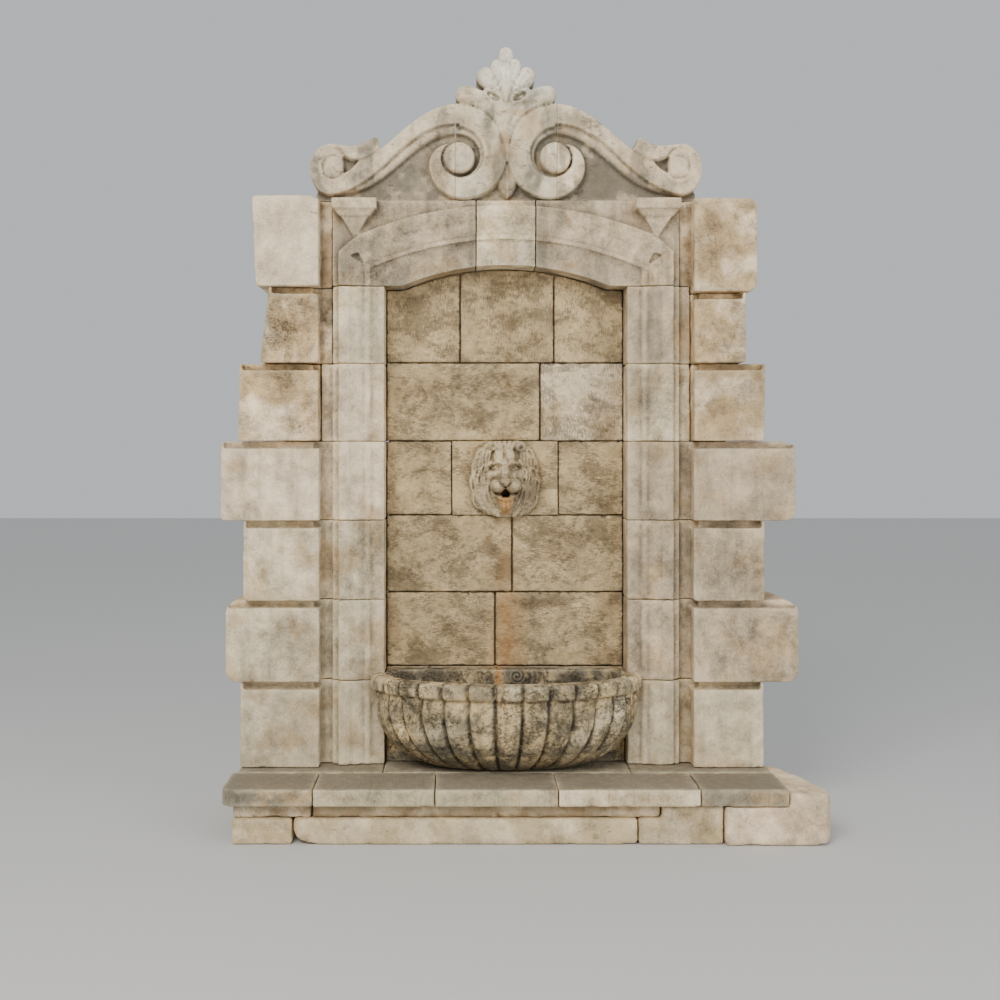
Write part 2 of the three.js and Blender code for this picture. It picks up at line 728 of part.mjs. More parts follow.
function buildPlinth() {
  const half = uprightGap / 2;
  const joints = [-plinthLeft, slabJoint1, slabJoint2, slabJoint3, slabJoint4, plinthRight];
  for (let i = 0; i < 5; i++) {
    const x0 = joints[i] + (i > 0 ? half : 0);
    const x1 = joints[i + 1] - (i < 4 ? half : 0);
    add(`plinth_slab_${i + 1}`, slab(x0, x1, i === 0 ? slabEndRadius : 0), slabStone);
  }

  // Slabs under the piers and under the basin
  const low = slabTopZ - slabThickness + bedGap;
  const edge = nicheHalf + 1;
  add('back_slab_left', box(-leftReach[0], -edge - half, slabBackY, wallBackY, low, slabTopZ), slabStone);
  add('back_slab_middle', box(-edge + half, edge - half, slabBackY, wallBackY, low, slabTopZ), slabStone);
  add('back_slab_right', box(edge + half, backSlabRight, slabBackY, wallBackY, low, slabTopZ), slabStone);

  // Levelling course, let into the base block at its right end
  const bed1 = beamHeight + bedGap;
  const bed2 = beamHeight + levellingHeight;
  const levelling = (x0, x1) => box(x0, x1, levellingFrontY, wallBackY, bed1, bed2);
  add('levelling_slab_left', levelling(-baseLeftEnd, levellingJoint - half), baseStone);
  add('levelling_slab_right', levelling(levellingJoint + half, levellingRight), baseStone);

  // Base course
  const base = (outline) => frontPrism(outline, beamFrontY, wallBackY);
  add('base_left', box(-baseLeftEnd, -beamLeftEnd - half, beamFrontY, wallBackY, 0, beamHeight), baseStone);
  const worn = arc(-beamLeftEnd + beamWornCorner, 52, beamWornCorner, 52, 180, 270, 4);
  const beam = [[-beamLeftEnd, beamHeight], ...worn, [beamRightEnd, 0], [beamRightEnd, beamHeight]];
  add('base_beam', base(beam), baseStone);
  const blockLeft = beamRightEnd + uprightGap;
  const block = [
    [blockLeft, 0],
    [baseBlockRight, 0],
    [baseBlockRight, bed2],
    [levellingRight + half, bed2],
    [levellingRight + half, beamHeight],
    [blockLeft, beamHeight],
  ];
  add('base_block', base(block), baseStone);
  add('base_end_block', endBlock(bed2), baseStone);
}

// The hewn block at the right end, rebated to take the last slab
function endBlock(bed) {
  const left = baseBlockRight + uprightGap;
  const top = slabTopZ - endBlockDrop;
  const right = endBlockRight;
  const plan = [
    [left, endBlockFrontY],
    [right - 20, endBlockFrontY],
    [right, endBlockFrontY + 25],
    [right + 9, endBlockFrontY + 92],
    [right - 103, 45],
    [right - 143, 77],
    [backSlabRight + 2, wallBackY],
    [left, wallBackY],
  ];
  const round = endBlockCorner;
  const face = [
    [left - 1, 0],
    ...arc(right - round, round, round + 12, round, 270, 360, 4),
    ...arc(right - round / 2, top - round / 2, round / 2 + 12, round / 2, 0, 90, 3),
    [left - 1, top],
  ];
  const body = planPrism(plan, 0, top).intersect(frontPrism(face, endBlockFrontY - 10, wallBackY + 10));
  const rebate = (x1, y0) => box(left - 10, x1, y0, wallBackY + 10, bed, top + 10);
  const frontRebate = rebate(plinthRight + 1, endBlockFrontY - 20);
  return body.subtract(frontRebate).subtract(rebate(backSlabRight + 1, slabBackY));
}

// Pediment. Heights here are above the top of the wall, and shapes are drawn for the right half.

const liftedPediment = (solid) => solid.translate(0, 0, wallTopZ + bedGap);

// The big volute winds in from the top of the scroll: its outer and inner radius, by share of a turn
const voluteOuter = (turn) => 212 - 74 * turn + 24 * turn ** 2 - 128 * turn ** 3;
const voluteInner = (turn) => voluteEyeRadius + 6 + 52 * Math.max(0, 1 - turn / 0.9) ** 2;

function spiralBand(outer, inner, turns, steps) {
  const edge = (radius) => {
    const points = [];
    for (let i = 0; i <= steps; i++) {
      const turn = (turns * i) / steps;
      const angle = -2 * Math.PI * turn;
      points.push([voluteX + radius(turn) * Math.sin(angle), voluteZ + radius(turn) * Math.cos(angle)]);
    }
    return points;
  };
  return [...edge(outer), ...edge(inner).reverse()];
}

function scrollBand(side) {
  const tipX = leafTip(side);
  const upper = bezier([voluteX, scrollTopZ], [300, scrollTopZ + 2], [392, 302], [504, 200], 8);
  const tip = [[tipX - 16, leafTipZ - 30], [tipX - 10, leafTipZ - 4], [tipX, leafTipZ]];
  const leafBack = bezier([tipX, leafTipZ], [580, 220], [600, 207], [endScrollX, 226], 5).slice(1, -1);
  const end = arc(endScrollX, endScrollZ, endScrollHalfWidth, endScrollHalfHeight, 90, -90, 10);
  const lowStart = [voluteX, scrollTopZ - scrollWidth];
  const lower = bezier(lowStart, [420, 300], [490, 45], [scrollFootX, endScrollZ - endScrollHalfHeight], 12);
  const outline = [...upper, ...tip, ...leafBack, ...end, ...lower.reverse().slice(1)];
  return frontPrism(mirrored(outline, side), scrollY, pedimentBackY);
}

function scrollMoulding(side) {
  const lowStart = [voluteX, scrollTopZ - scrollWidth + 10];
  const upper = bezier(lowStart, [420, 310], [490, 60], [scrollFootX, endScrollZ - endScrollHalfHeight], 8);
  const lower = bezier([voluteX, 267], [380, 262], [450, 60], [640, 26], 8);
  return frontPrism(mirrored([...upper, ...lower.reverse()], side), scrollMouldingY, 100);
}

function endScrollCuts(side) {
  const pocket = [[650, 166], [622, 158], [592, 166], [618, 136], [646, 114]];
  const slit = [[678, 200], [670, 203], [646, 176], [650, 170]];
  const eyeZ = endScrollZ + 10;
  const groove = arc(692, eyeZ, endEyeRadius + 9, endEyeRadius + 9, 95, 330, 10);
  groove.push(...arc(692, eyeZ, endEyeRadius, endEyeRadius, 330, 95, 10));
  const cut = (outline, depth) => frontPrism(mirrored(outline, side), -60, scrollY + depth);
  return join([cut(pocket, 32), cut(slit, 12), cut(groove, 14)]);
}

// The right leaf was cut a little shorter than the left one
const leafTip = (side) => (side < 0 ? leftLeafTipX : rightLeafTipX);

function endLeaf(side) {
  const tipX = leafTip(side);
  const outline = [
    ...bezier([650, 176], [620, 152], [570, 150], [508, 200], 5),
    [tipX - 14, leafTipZ - 20],
    [tipX - 8, leafTipZ - 5],
    ...bezier([tipX + 2, leafTipZ - 3], [580, 217], [600, 204], [668, 218], 5),
  ];
  return frontPrism(mirrored(outline, side), leafY, 60);
}

// A rounded boss: a sphere squashed to its three half sizes, turned in the plane of the face
function lobe(x, z, halfX, halfZ, proud, turn = 0, faceY = palmetteY + 30) {
  const geometry = new THREE.SphereGeometry(1, 14, 10);
  geometry.scale(halfX, proud, halfZ);
  geometry.rotateY(THREE.MathUtils.degToRad(turn));
  geometry.translate(x, faceY, z);
  return toSolid(geometry);
}

function plateUnder(x, z, halfX, halfZ, turn = 0) {
  const angle = THREE.MathUtils.degToRad(turn);
  const outline = arc(0, 0, halfX, halfZ, 0, 345, 23).map(([dx, dz]) => [
    x + dx * Math.cos(angle) + dz * Math.sin(angle),
    z - dx * Math.sin(angle) + dz * Math.cos(angle),
  ]);
  return frontPrism(outline, palmetteY + 30, pedimentBackY - 60);
}

function palmette() {
  const top = palmetteTopZ;
  const leaves = [
    [0, top - 36, 31, 36, 0],
    [-30, top - 94, 25, 45, -14],
    [30, top - 94, 25, 45, 14],
    [-80, top - 128, 32, 44, -40],
    [80, top - 128, 32, 44, 40],
    [-150, top - 188, 54, 37, 12],
    [150, top - 188, 54, 37, -12],
  ];
  const solids = leaves.map(([x, z, halfX, halfZ, turn]) => lobe(x, z, halfX, halfZ, 38, turn));
  solids.push(...leaves.map(([x, z, halfX, halfZ, turn]) => plateUnder(x, z, halfX, halfZ, turn)));
  const trunk = [
    [0, top - 50],
    [46, top - 110],
    [96, top - 170],
    [150, top - 212],
    ...bezier([120, top - 250], [60, top - 285], [22, top - 320], [9, top - 400], 5),
  ];
  const outline = [...trunk, ...mirrored([...trunk].reverse().slice(0, -1), -1)];
  solids.push(frontPrism(outline, palmetteY + 8, 110));
  const eye = (side) => lobe(side * 54, top - 200, 26, 9, 26, side * 22, palmetteY + 4);
  return join(solids).subtract(eye(-1)).subtract(eye(1));
}

function dropLeaf() {
  const rings = [];
  const profile = [[198, 5], [160, 16], [122, 32], [84, dropLeafHalf], [52, 34], [26, 16], [6, 4]];
  for (const [z, half] of profile) {
    const ring = arc(0, 0, half, half * 0.9 + 4, 180, 360, 6).map(([x, y]) => [x, y + tympanumY - 6, z]);
    ring.push([half, 80, z], [-half, 80, z]);
    rings.push(ring);
  }
  return loft(rings);
}

function buildPediment() {
  const halfBack = [
    [0, 330],
    [120, 350],
    [voluteX, 345],
    [300, 320],
    [400, 250],
    [480, 170],
    [560, 100],
    [650, 55],
    [pedimentReach - 21, 50],
    [pedimentReach, 30],
    [pedimentReach, 0],
  ];
  const back = [...halfBack, ...mirrored([...halfBack].reverse().slice(0, -1), -1)];
  const tympanum = frontPrism(back, tympanumY, pedimentBackY);
  const pieces = [tympanum, palmette(), dropLeaf()];
  for (const side of [-1, 1]) {
    const flat = spiralBand(voluteOuter, voluteInner, 0.9, 26);
    const stepInner = (turn) => 0.55 * voluteInner(turn) + 0.45 * voluteEyeRadius;
    const step = spiralBand((turn) => voluteInner(turn) + 4, stepInner, 0.62, 16);
    const eye = arc(side * voluteX, voluteZ, voluteEyeRadius, voluteEyeRadius, 0, 345, 23);
    const eyeDome = voluteEyeRadius - 4;
    pieces.push(frontPrism(mirrored(flat, side), scrollY, 100));
    pieces.push(frontPrism(mirrored(step, side), scrollMouldingY, 100));
    pieces.push(frontPrism(eye, voluteEyeY + 8, 100));
    pieces.push(lobe(side * voluteX, voluteZ, eyeDome, eyeDome, 14, 0, voluteEyeY + 8));
    pieces.push(scrollMoulding(side));
    pieces.push(scrollBand(side).subtract(endScrollCuts(side)));
    pieces.push(endLeaf(side));
  }
  const whole = liftedPediment(join(pieces));
  const low = wallTopZ + bedGap;
  const high = low + palmetteTopZ + beyond;
  const between = (x0, x1) => whole.intersect(box(x0, x1, -beyond, wallBackY, low, high));
  const half = uprightGap / 2;
  add('pediment_left', between(-pedimentReach - beyond, -pedimentJoint - half), carvedStone);
  add('pediment_middle', between(-pedimentJoint + half, pedimentJoint - half), carvedStone);
  add('pediment_right', between(pedimentJoint + half, pedimentReach + beyond), carvedStone);
}

buildPlinth();
buildPier('left', -1, leftReach, leftReachTop, leftCorner, { 5: true, 6: false, 7: false });
buildPier('right', 1, rightReach, rightReachTop, rightCorner, { 5: true, 6: true, 7: false });
buildPanel();
buildArch();
buildBasin();
buildPediment();

export default fountain;
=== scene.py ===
"""The looks of a weathered stone wall fountain.

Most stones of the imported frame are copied, remeshed, worn at their arrises and given a rough skin. The mask, the
basin and the pediment are carved anew in the room of their solids. One Operator dresses each group of stones, and
main() runs them all.
"""

import itertools
import math

import bpy
import numpy as np
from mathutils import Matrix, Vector


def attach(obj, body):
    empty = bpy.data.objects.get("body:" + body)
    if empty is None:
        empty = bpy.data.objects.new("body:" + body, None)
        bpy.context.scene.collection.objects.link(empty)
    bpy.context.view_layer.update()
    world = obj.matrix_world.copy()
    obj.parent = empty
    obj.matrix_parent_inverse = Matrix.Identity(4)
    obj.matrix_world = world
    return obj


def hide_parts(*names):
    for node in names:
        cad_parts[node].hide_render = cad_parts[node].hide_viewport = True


bl_info = {
    "name": "Wall Fountain",
    "version": (1, 0, 0),
    "blender": (4, 5, 0),
    "location": "View3D > Sidebar > Fountain",
    "description": "Dresses the solids of a stone wall fountain as weathered, carved stone",
    "category": "Object",
}

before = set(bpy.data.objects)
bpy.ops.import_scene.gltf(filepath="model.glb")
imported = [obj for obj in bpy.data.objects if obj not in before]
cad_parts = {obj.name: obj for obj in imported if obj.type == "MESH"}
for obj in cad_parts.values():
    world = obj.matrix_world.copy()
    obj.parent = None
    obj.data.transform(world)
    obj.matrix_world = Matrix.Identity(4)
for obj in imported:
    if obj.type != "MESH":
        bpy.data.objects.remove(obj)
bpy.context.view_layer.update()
BODY = "root"

# Metres: where the piers' sunk strip lies from the centre line, the foot of the pediment and that of the basin
STRIP = (0.694, 0.746)
WALL_TOP = 2.477
BASIN_BED = 0.212

# How many triangles each kind of stone keeps
FACES = {
    "pier": 15000, "jamb": 12000, "quoin": 11000, "panel": 11000, "arch": 28000, "slab": 8000, "base": 9000,
    "mask": 90000, "basin": 150000, "pediment": 60000,
}


def srgb(red, green, blue):
    """A colour given in 0-255 display values, as Blender's linear colour."""
    def linear(value):
        value = value / 255
        return value / 12.92 if value <= 0.04045 else ((value + 0.055) / 1.055) ** 2.4

    return linear(red), linear(green), linear(blue)


# Properties


def size_property(name, description, default):
    return bpy.props.FloatProperty(name=name, description=description, default=default, unit="LENGTH")


def share_property(name, description, default):
    return bpy.props.FloatProperty(name=name, description=description, default=default, subtype="FACTOR")


def colour_property(name, description, default):
    return bpy.props.FloatVectorProperty(
        name=name, description=description, default=default, subtype="COLOR", size=3, min=0, max=1
    )


class StageSettings(bpy.types.PropertyGroup):
    """Where the camera stands, and the floor and light of the stage."""

    camera_place: bpy.props.FloatVectorProperty(
        name="Camera place",
        description="Where the camera stands, in the fountain's frame",
        default=(-0.1964, -4.8, 1.49),
        unit="LENGTH",
    )
    focal_share: share_property("Focal share", "Focal length as a share of the sensor's width", 1.2)
    shift_right: share_property("Shift right", "How far the view is shifted right", 0.043)
    shift_up: share_property("Shift up", "How far the view is shifted up", -0.054)
    floor_size: size_property("Floor size", "Side of the square floor", 40)
    floor_colour: colour_property("Floor colour", "Colour of the floor", (0.62, 0.62, 0.61))
    sky_strength: share_property("Sky strength", "Brightness of the even light all round", 0.62)
    key_power: bpy.props.FloatProperty(
        name="Key power", description="Power of the large lamp in front", default=330, unit="POWER"
    )
    fill_power: bpy.props.FloatProperty(
        name="Fill power", description="Power of the lamp on the right", default=90, unit="POWER"
    )


class StoneColours(bpy.types.PropertyGroup):
    """The colours of the quarry's stones, of what has settled on them, and of the painted shade and highlight."""

    pale: colour_property("Pale", "The palest dressed blocks", srgb(240, 219, 185))
    cream: colour_property("Cream", "The jambs and most blocks", srgb(223, 207, 173))
    grey: colour_property("Grey", "Weathered jambs on the right", srgb(196, 176, 146))
    tan: colour_property("Tan", "The warmer blocks", srgb(192, 164, 122))
    brown: colour_property("Brown", "Stained and bedded stone", srgb(148, 123, 90))
    soot: colour_property("Soot", "Grey-black crust under the weather", srgb(104, 98, 86))
    peat: colour_property("Peat", "Dark brown in pits and flecks", srgb(96, 80, 56))
    carved: colour_property("Carved", "The pediment", srgb(224, 209, 178))
    ochre: colour_property("Ochre", "The rough panel", srgb(222, 196, 150))
    basin: colour_property("Basin", "The basin's clean stone", srgb(228, 200, 150))
    slab: colour_property("Slab", "Tooled fronts of the slabs", srgb(196, 182, 149))
    slab_top: colour_property("Slab top", "The walked and wetted tops", srgb(136, 126, 108))
    base: colour_property("Base", "The beam and the block", srgb(197, 174, 132))
    end: colour_property("End", "The end block", srgb(206, 180, 149))
    # Grime also gives the painted shade laid in the hollows of every stone
    grime_and_shade: colour_property("Grime and shade", "Dark growth in hollows", srgb(72, 64, 52))
    rust: colour_property("Rust", "Rust and iron stain", srgb(210, 150, 84))
    lichen: colour_property("Lichen", "Yellow-cream growth on the basin", srgb(222, 196, 140))
    # Bloom also gives the painted highlight laid on the arrises of every stone
    bloom_and_highlight: colour_property("Bloom and highlight", "Pale worn arrises", srgb(240, 226, 190))
    crown: colour_property("Crown", "The bleached top of the palmette", srgb(255, 248, 228))


class WearSettings(bpy.types.PropertyGroup):
    """How much the stones have worn."""

    voxel: size_property("Faces", "Size of the faces of dressed stones before thinning", 0.005)
    slab_voxel: size_property("Slab faces", "Size of the slabs' faces", 0.006)
    base_voxel: size_property("Base faces", "Size of the base stones' faces", 0.0075)
    mask_voxel: size_property("Mask faces", "Size of the mask's faces", 0.0024)
    basin_voxel: size_property("Basin faces", "Size of the basin's faces", 0.0034)
    pediment_voxel: size_property("Pediment faces", "Size of the pediment's faces", 0.0036)
    rough_depth: size_property("Rough depth", "Depth of the panel's rough skin", 0.006)
    chip_cell: size_property("Chip size", "Rough size of a chip", 0.045)


# Selecting and finishing, as by hand


def select_only(piece):
    if bpy.context.mode != "OBJECT":
        bpy.ops.object.mode_set(mode="OBJECT")
    bpy.ops.object.select_all(action="DESELECT")
    piece.select_set(True)
    bpy.context.view_layer.objects.active = piece


def finish_with(piece, kind, label, **values):
    """Adds a modifier with these values and applies it."""
    modifier = piece.modifiers.new(label, kind)
    for key, value in values.items():
        setattr(modifier, key, value)
    select_only(piece)
    bpy.ops.object.modifier_apply(modifier=label)


def copied_node(node, name):
    """A CAD node's mesh in an object of its own, with its loose triangles joined."""
    piece = bpy.data.objects.new(name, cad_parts[node].data.copy())
    bpy.context.scene.collection.objects.link(piece)
    piece.data.materials.clear()
    select_only(piece)
    bpy.ops.object.mode_set(mode="EDIT")
    bpy.ops.mesh.select_all(action="SELECT")
    bpy.ops.mesh.remove_doubles(threshold=0.00002)
    bpy.ops.object.mode_set(mode="OBJECT")
    return piece


def node_box(node):
    """The lowest and the highest corner of a CAD node."""
    corners = np.array([tuple(corner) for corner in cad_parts[node].bound_box])
    return corners.min(axis=0), corners.max(axis=0)


def positions(mesh, what="co"):
    """Where each point lies, or which way it faces."""
    flat = np.empty(3 * len(mesh.vertices))
    mesh.vertices.foreach_get(what, flat)
    return flat.reshape(-1, 3)


def move_points(mesh, points):
    mesh.vertices.foreach_set("co", np.ascontiguousarray(points, dtype=np.float32).ravel())
    mesh.update()


def noise(points, size, seed, octaves=1):
    """Smooth noise from 0 to 1 at each point, with cells of a size in metres, or of three sizes."""
    total = np.zeros(len(points))
    reach = 0.0
    for octave in range(octaves):
        share = 0.5**octave
        cell = points / (np.asarray(size) * share) + 19.19 * (seed + octave)
        low = np.floor(cell).astype(np.int64)
        part = cell - low
        part = part * part * (3 - 2 * part)
        for corner in itertools.product((0, 1), repeat=3):
            key = (low + corner) @ np.array([73856093, 19349663, 83492791])
            key = (key ^ (key >> 13)) * 1274126177 & 0xFFFFFFFF
            key = (key ^ (key >> 16)) * 668265263 & 0xFFFFFFFF
            weight = np.prod(np.where(corner, part, 1 - part), axis=1)
            total += share * weight * (key / 0xFFFFFFFF)
        reach += share
    return total / reach


def smoothstep(low, high, value):
    share = np.clip((value - low) / (high - low), 0, 1)
    return share * share * (3 - 2 * share)


def smoothed(mesh, points, rounds):
    """The points after each has moved to its neighbours' middle, this many times."""
    ends = np.empty(2 * len(mesh.edges), dtype=np.int64)
    mesh.edges.foreach_get("vertices", ends)
    a, b = ends.reshape(-1, 2).T
    count = len(points)
    degree = np.maximum(np.bincount(a, minlength=count) + np.bincount(b, minlength=count), 1)
    for _ in range(rounds):
        middle = np.empty_like(points)
        for axis in range(3):
            value = points[:, axis]
            middle[:, axis] = np.bincount(a, value[b], count) + np.bincount(b, value[a], count)
        points = middle / degree[:, None]
    return points


def weigh(piece, label, weights):
    """A vertex group of these weights, in sixteen steps."""
    group = piece.vertex_groups.new(name=label)
    steps = np.round(np.clip(weights, 0, 1) * 16).astype(int)
    for step in range(1, 17):
        indices = np.flatnonzero(steps == step).tolist()
        if indices:
            group.add(indices, step / 16, "REPLACE")
    return group.name


def rough_skin(piece, kind, size, depth, seed, stretch=(1, 1, 1), group="", keep_out=0.75):
    """Waves or pits of a depth over the surface, sunk below it for the most part."""
    texture = bpy.data.textures.new("skin", kind)
    texture.noise_scale = size
    if kind == "CLOUDS":
        texture.noise_depth = 3
    place = bpy.data.objects.new("skin place", None)
    place.location = (seed * 1.37, seed * 0.71, seed * 2.13)
    place.scale = stretch
    bpy.context.scene.collection.objects.link(place)
    bpy.context.view_layer.update()
    finish_with(
        piece, "DISPLACE", "skin", texture=texture, texture_coords="OBJECT", texture_coords_object=place,
        strength=depth, mid_level=keep_out, vertex_group=group,
    )
    bpy.data.objects.remove(place)
    bpy.data.textures.remove(texture)


def thin_to(piece, faces):
    """Fewer faces, most of them where the surface bends."""
    if len(piece.data.polygons) * 2 > faces:
        share = faces / (2 * len(piece.data.polygons))
        finish_with(piece, "DECIMATE", "fewer faces", ratio=share)


def note(mesh, name, kind, values):
    """Keeps a value for every point of the mesh, for its material."""
    field = {"FLOAT": "value", "FLOAT_VECTOR": "vector", "FLOAT_COLOR": "color"}[kind]
    mesh.attributes.new(name, kind, "POINT").data.foreach_set(field, np.ravel(values))


def describe_surface(piece, node, seed):
    """Notes hollows and arrises, which get painted shade and a painted highlight, stains, the stone's tint and its
    place in the quarry on the mesh.
    """
    mesh = piece.data
    points = positions(mesh)
    facing = positions(mesh, "normal")
    near = np.einsum("ij,ij->i", points - smoothed(mesh, points, 3), facing)
    wide = np.einsum("ij,ij->i", points - smoothed(mesh, points, 14), facing)
    # How sunk or how proud each point is: hollows get painted shade mixed with grime, arrises a painted highlight
    # mixed with pale wear
    note(mesh, "hollow", "FLOAT", np.clip(-wide / 0.006 - near / 0.0035, 0, 1))
    note(mesh, "arris_wear_and_highlight", "FLOAT", np.clip(wide / 0.007 + near / 0.003, 0, 1))
    note(mesh, "quarry", "FLOAT_VECTOR", np.tile([seed * 3.7, seed * 5.3, seed * 1.9], len(points)))
    paint(mesh, node)


def hand_over(piece, material, slot, node):
    """Gives a finished piece its material, and lets it stand for its node."""
    piece.data.materials.clear()
    piece.data.materials.append(stone_material(material))
    for group in list(piece.vertex_groups):
        piece.vertex_groups.remove(group)
    select_only(piece)
    bpy.ops.object.shade_smooth()
    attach(piece, BODY)
    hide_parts(node)


def worn_stone(node, seed, voxel, faces, **wear):
    """A node's copy as a worn stone."""
    piece = copied_node(node, node + "_stone")
    finish_with(piece, "REMESH", "even faces", mode="VOXEL", voxel_size=voxel)
    weather(piece, seed, **wear)
    thin_to(piece, faces)
    describe_surface(piece, node, seed)
    return piece


def dress(nodes, first_seed, voxel, faces, material, slot, **wear):
    """Wears these nodes one after the other, each with a seed of its own."""
    for seed, node in enumerate(nodes, first_seed):
        hand_over(worn_stone(node, seed, voxel, faces, **wear), material, slot, node)


def weather(piece, seed, wear=1.0, chips=1.0, depth=0.0016, rough=0.0, stretch=(1, 1, 1)):
    """Wears the arrises, knocks chips off them and gives the surface a skin."""
    points = positions(piece.data)
    settings = bpy.context.scene.fountain_wear
    soft = 0.25 + 0.5 * noise(points, 0.12, seed)
    chip = smoothstep(0.62, 0.74, noise(points, settings.chip_cell, seed + 3, 2))
    finish_with(
        piece, "SMOOTH", "worn arrises", vertex_group=weigh(piece, "worn", wear * soft), factor=0.8, iterations=3
    )
    finish_with(
        piece, "SMOOTH", "chips", vertex_group=weigh(piece, "chips", chips * chip), factor=0.9, iterations=14
    )
    rough_skin(piece, "CLOUDS", 0.11, depth * 1.5, seed)
    rough_skin(piece, "CLOUDS", 0.025, depth, seed + 9, stretch)
    if rough > 0:
        rough_skin(piece, "CLOUDS", 0.018, rough, seed + 5, stretch, keep_out=0.8)


# Relief: shapes are drawn in millimetres as seen from the front, x across and z up, and stand towards the viewer

BEYOND = -10000.0


def bezier(a, b, c, d, steps=12):
    """Points along a cubic curve."""
    share = np.linspace(0, 1, steps + 1)[:, None]
    a, b, c, d = (np.array(handle, dtype=float) for handle in (a, b, c, d))
    return (1 - share) ** 3 * a + 3 * share * (1 - share) ** 2 * b + 3 * share**2 * (1 - share) * c + share**3 * d


def oval(x, z, half_x, half_z, turn=0.0, start=0.0, end=360.0, steps=32):
    """Points round an oval, from one angle to another, turned clockwise."""
    angle = np.radians(np.linspace(start, end, steps + 1))
    across, up = half_x * np.cos(angle), half_z * np.sin(angle)
    lean = math.radians(turn)
    turned = [across * math.cos(lean) + up * math.sin(lean), up * math.cos(lean) - across * math.sin(lean)]
    return np.array([x, z]) + np.array(turned).T


def line_distance(place, line):
    """Distance of each place from a line, share of the way along it, and how far to its left."""
    line = np.asarray(line, dtype=float)
    closest = np.full(len(place), np.inf)
    share_along = np.zeros(len(place))
    to_left = np.zeros(len(place))
    for index, (start, end) in enumerate(zip(line[:-1], line[1:])):
        step = end - start
        length = math.hypot(*step) or 1e-9
        offset = place - start
        share = np.clip(offset @ step / length**2, 0, 1)
        gap = np.hypot(*(offset - share[:, None] * step).T)
        nearer = gap < closest
        closest = np.where(nearer, gap, closest)
        share_along = np.where(nearer, (index + share) / (len(line) - 1), share_along)
        to_left = np.where(nearer, (step[0] * offset[:, 1] - step[1] * offset[:, 0]) / length, to_left)
    return closest, share_along, to_left


def depth_inside(place, outline):
    """How deep each place lies inside a closed outline, below zero outside it."""
    outline = np.asarray(outline, dtype=float)
    closed = np.vstack([outline, outline[:1]])
    reach = 40
    near = ((place > outline.min(axis=0) - reach) & (place < outline.max(axis=0) + reach)).all(axis=1)
    x, z = place[near].T
    inside = np.zeros(len(x), dtype=bool)
    for (x0, z0), (x1, z1) in zip(closed[:-1], closed[1:]):
        if z0 != z1:
            inside ^= ((z0 > z) != (z1 > z)) & (x < x0 + (z - z0) * (x1 - x0) / (z1 - z0))
    distance = line_distance(place[near], closed)[0]
    depth = np.full(len(place), BEYOND)
    depth[near] = np.where(inside, distance, -distance)
    return depth


class Relief:
    """How far a carved face stands forward at each place in millimetres, built up shape by shape."""

    def __init__(self, place, base):
        self.place = place
        self.height = np.zeros(len(place)) + base

    def raise_shape(self, outline, top, rounding, slope=7.0):
        """Stands a shape with rounded arrises and steep sides on the face."""
        depth = depth_inside(self.place, outline)
        over = np.clip(depth, 0, rounding)
        edge = rounding - np.sqrt(np.maximum(rounding**2 - (rounding - over) ** 2, 0))
        self.height = np.maximum(self.height, top - edge + np.minimum(depth, 0) * slope)

    def sink_shape(self, outline, floor, slope=4.0):
        """Cuts a shape down to a floor with sloping sides."""
        depth = depth_inside(self.place, outline)
        self.height = np.minimum(self.height, floor + np.maximum(-depth, 0) * slope)

    def spans(self, x, z, half_x, half_z, turn):
        lean = math.radians(turn)
        offset = self.place - np.array([x, z])
        across = offset[:, 0] * math.cos(lean) - offset[:, 1] * math.sin(lean)
        up = offset[:, 0] * math.sin(lean) + offset[:, 1] * math.cos(lean)
        return across / half_x, up / half_z

    def raise_lobe(self, x, z, half_x, half_z, turn, base, rise, blunt=2.0):
        """Adds a rounded swelling, from its base height up."""
        across, up = self.spans(x, z, half_x, half_z, turn)
        rho = np.abs(across) ** blunt + np.abs(up) ** blunt
        swelling = base + rise * np.sqrt(np.maximum(1 - rho, 0))
        self.height = np.where(rho < 1, np.maximum(self.height, swelling), self.height)

    def press(self, x, z, half_x, half_z, turn, depth):
        """Presses a soft hollow into the face, or lifts it where the depth is below zero."""
        across, up = self.spans(x, z, half_x, half_z, turn)
        self.height = self.height - depth * np.exp(-(across**2) - up**2)

    def groove(self, line, width, depth):
        """Cuts a groove along a line, or leaves a ridge where the depth is below zero."""
        distance = line_distance(self.place, line)[0]
        self.height = self.height - depth * np.exp(-((distance / width) ** 2))

    def lock(self, line, thick, thin, base, rise, strands=3, combed=1.6):
        """A tapering lock of hair, combed into strands."""
        line = np.asarray(line, dtype=float)
        near = (self.place > line.min(axis=0) - thick) & (self.place < line.max(axis=0) + thick)
        near = near.all(axis=1)
        distance, share, to_left = line_distance(self.place[near], line)
        radius = thick + (thin - thick) * share
        swelling = base + rise * (1 - 0.25 * share) * np.sqrt(np.maximum(1 - (distance / radius) ** 2, 0))
        swelling -= combed * (0.5 - 0.5 * np.cos(math.pi * strands * (to_left / radius + 1)))
        self.height[near] = np.where(distance < radius, np.maximum(self.height[near], swelling), self.height[near])


def solid_from_outline(outline, front, back, high=0.0):
    """A flat-faced solid from an outline in millimetres, between two depths in metres."""
    outline = np.asarray(outline, dtype=float) / 1000
    count = len(outline)
    points = [(x, y, z + high) for y in (front, back) for x, z in outline]
    rim = [(i, (i + 1) % count, count + (i + 1) % count, count + i) for i in range(count)]
    mesh = bpy.data.meshes.new("outline")
    mesh.from_pydata(points, [], [tuple(range(count)), tuple(reversed(range(count, 2 * count))), *rim])
    return linked_solid("outline", mesh)


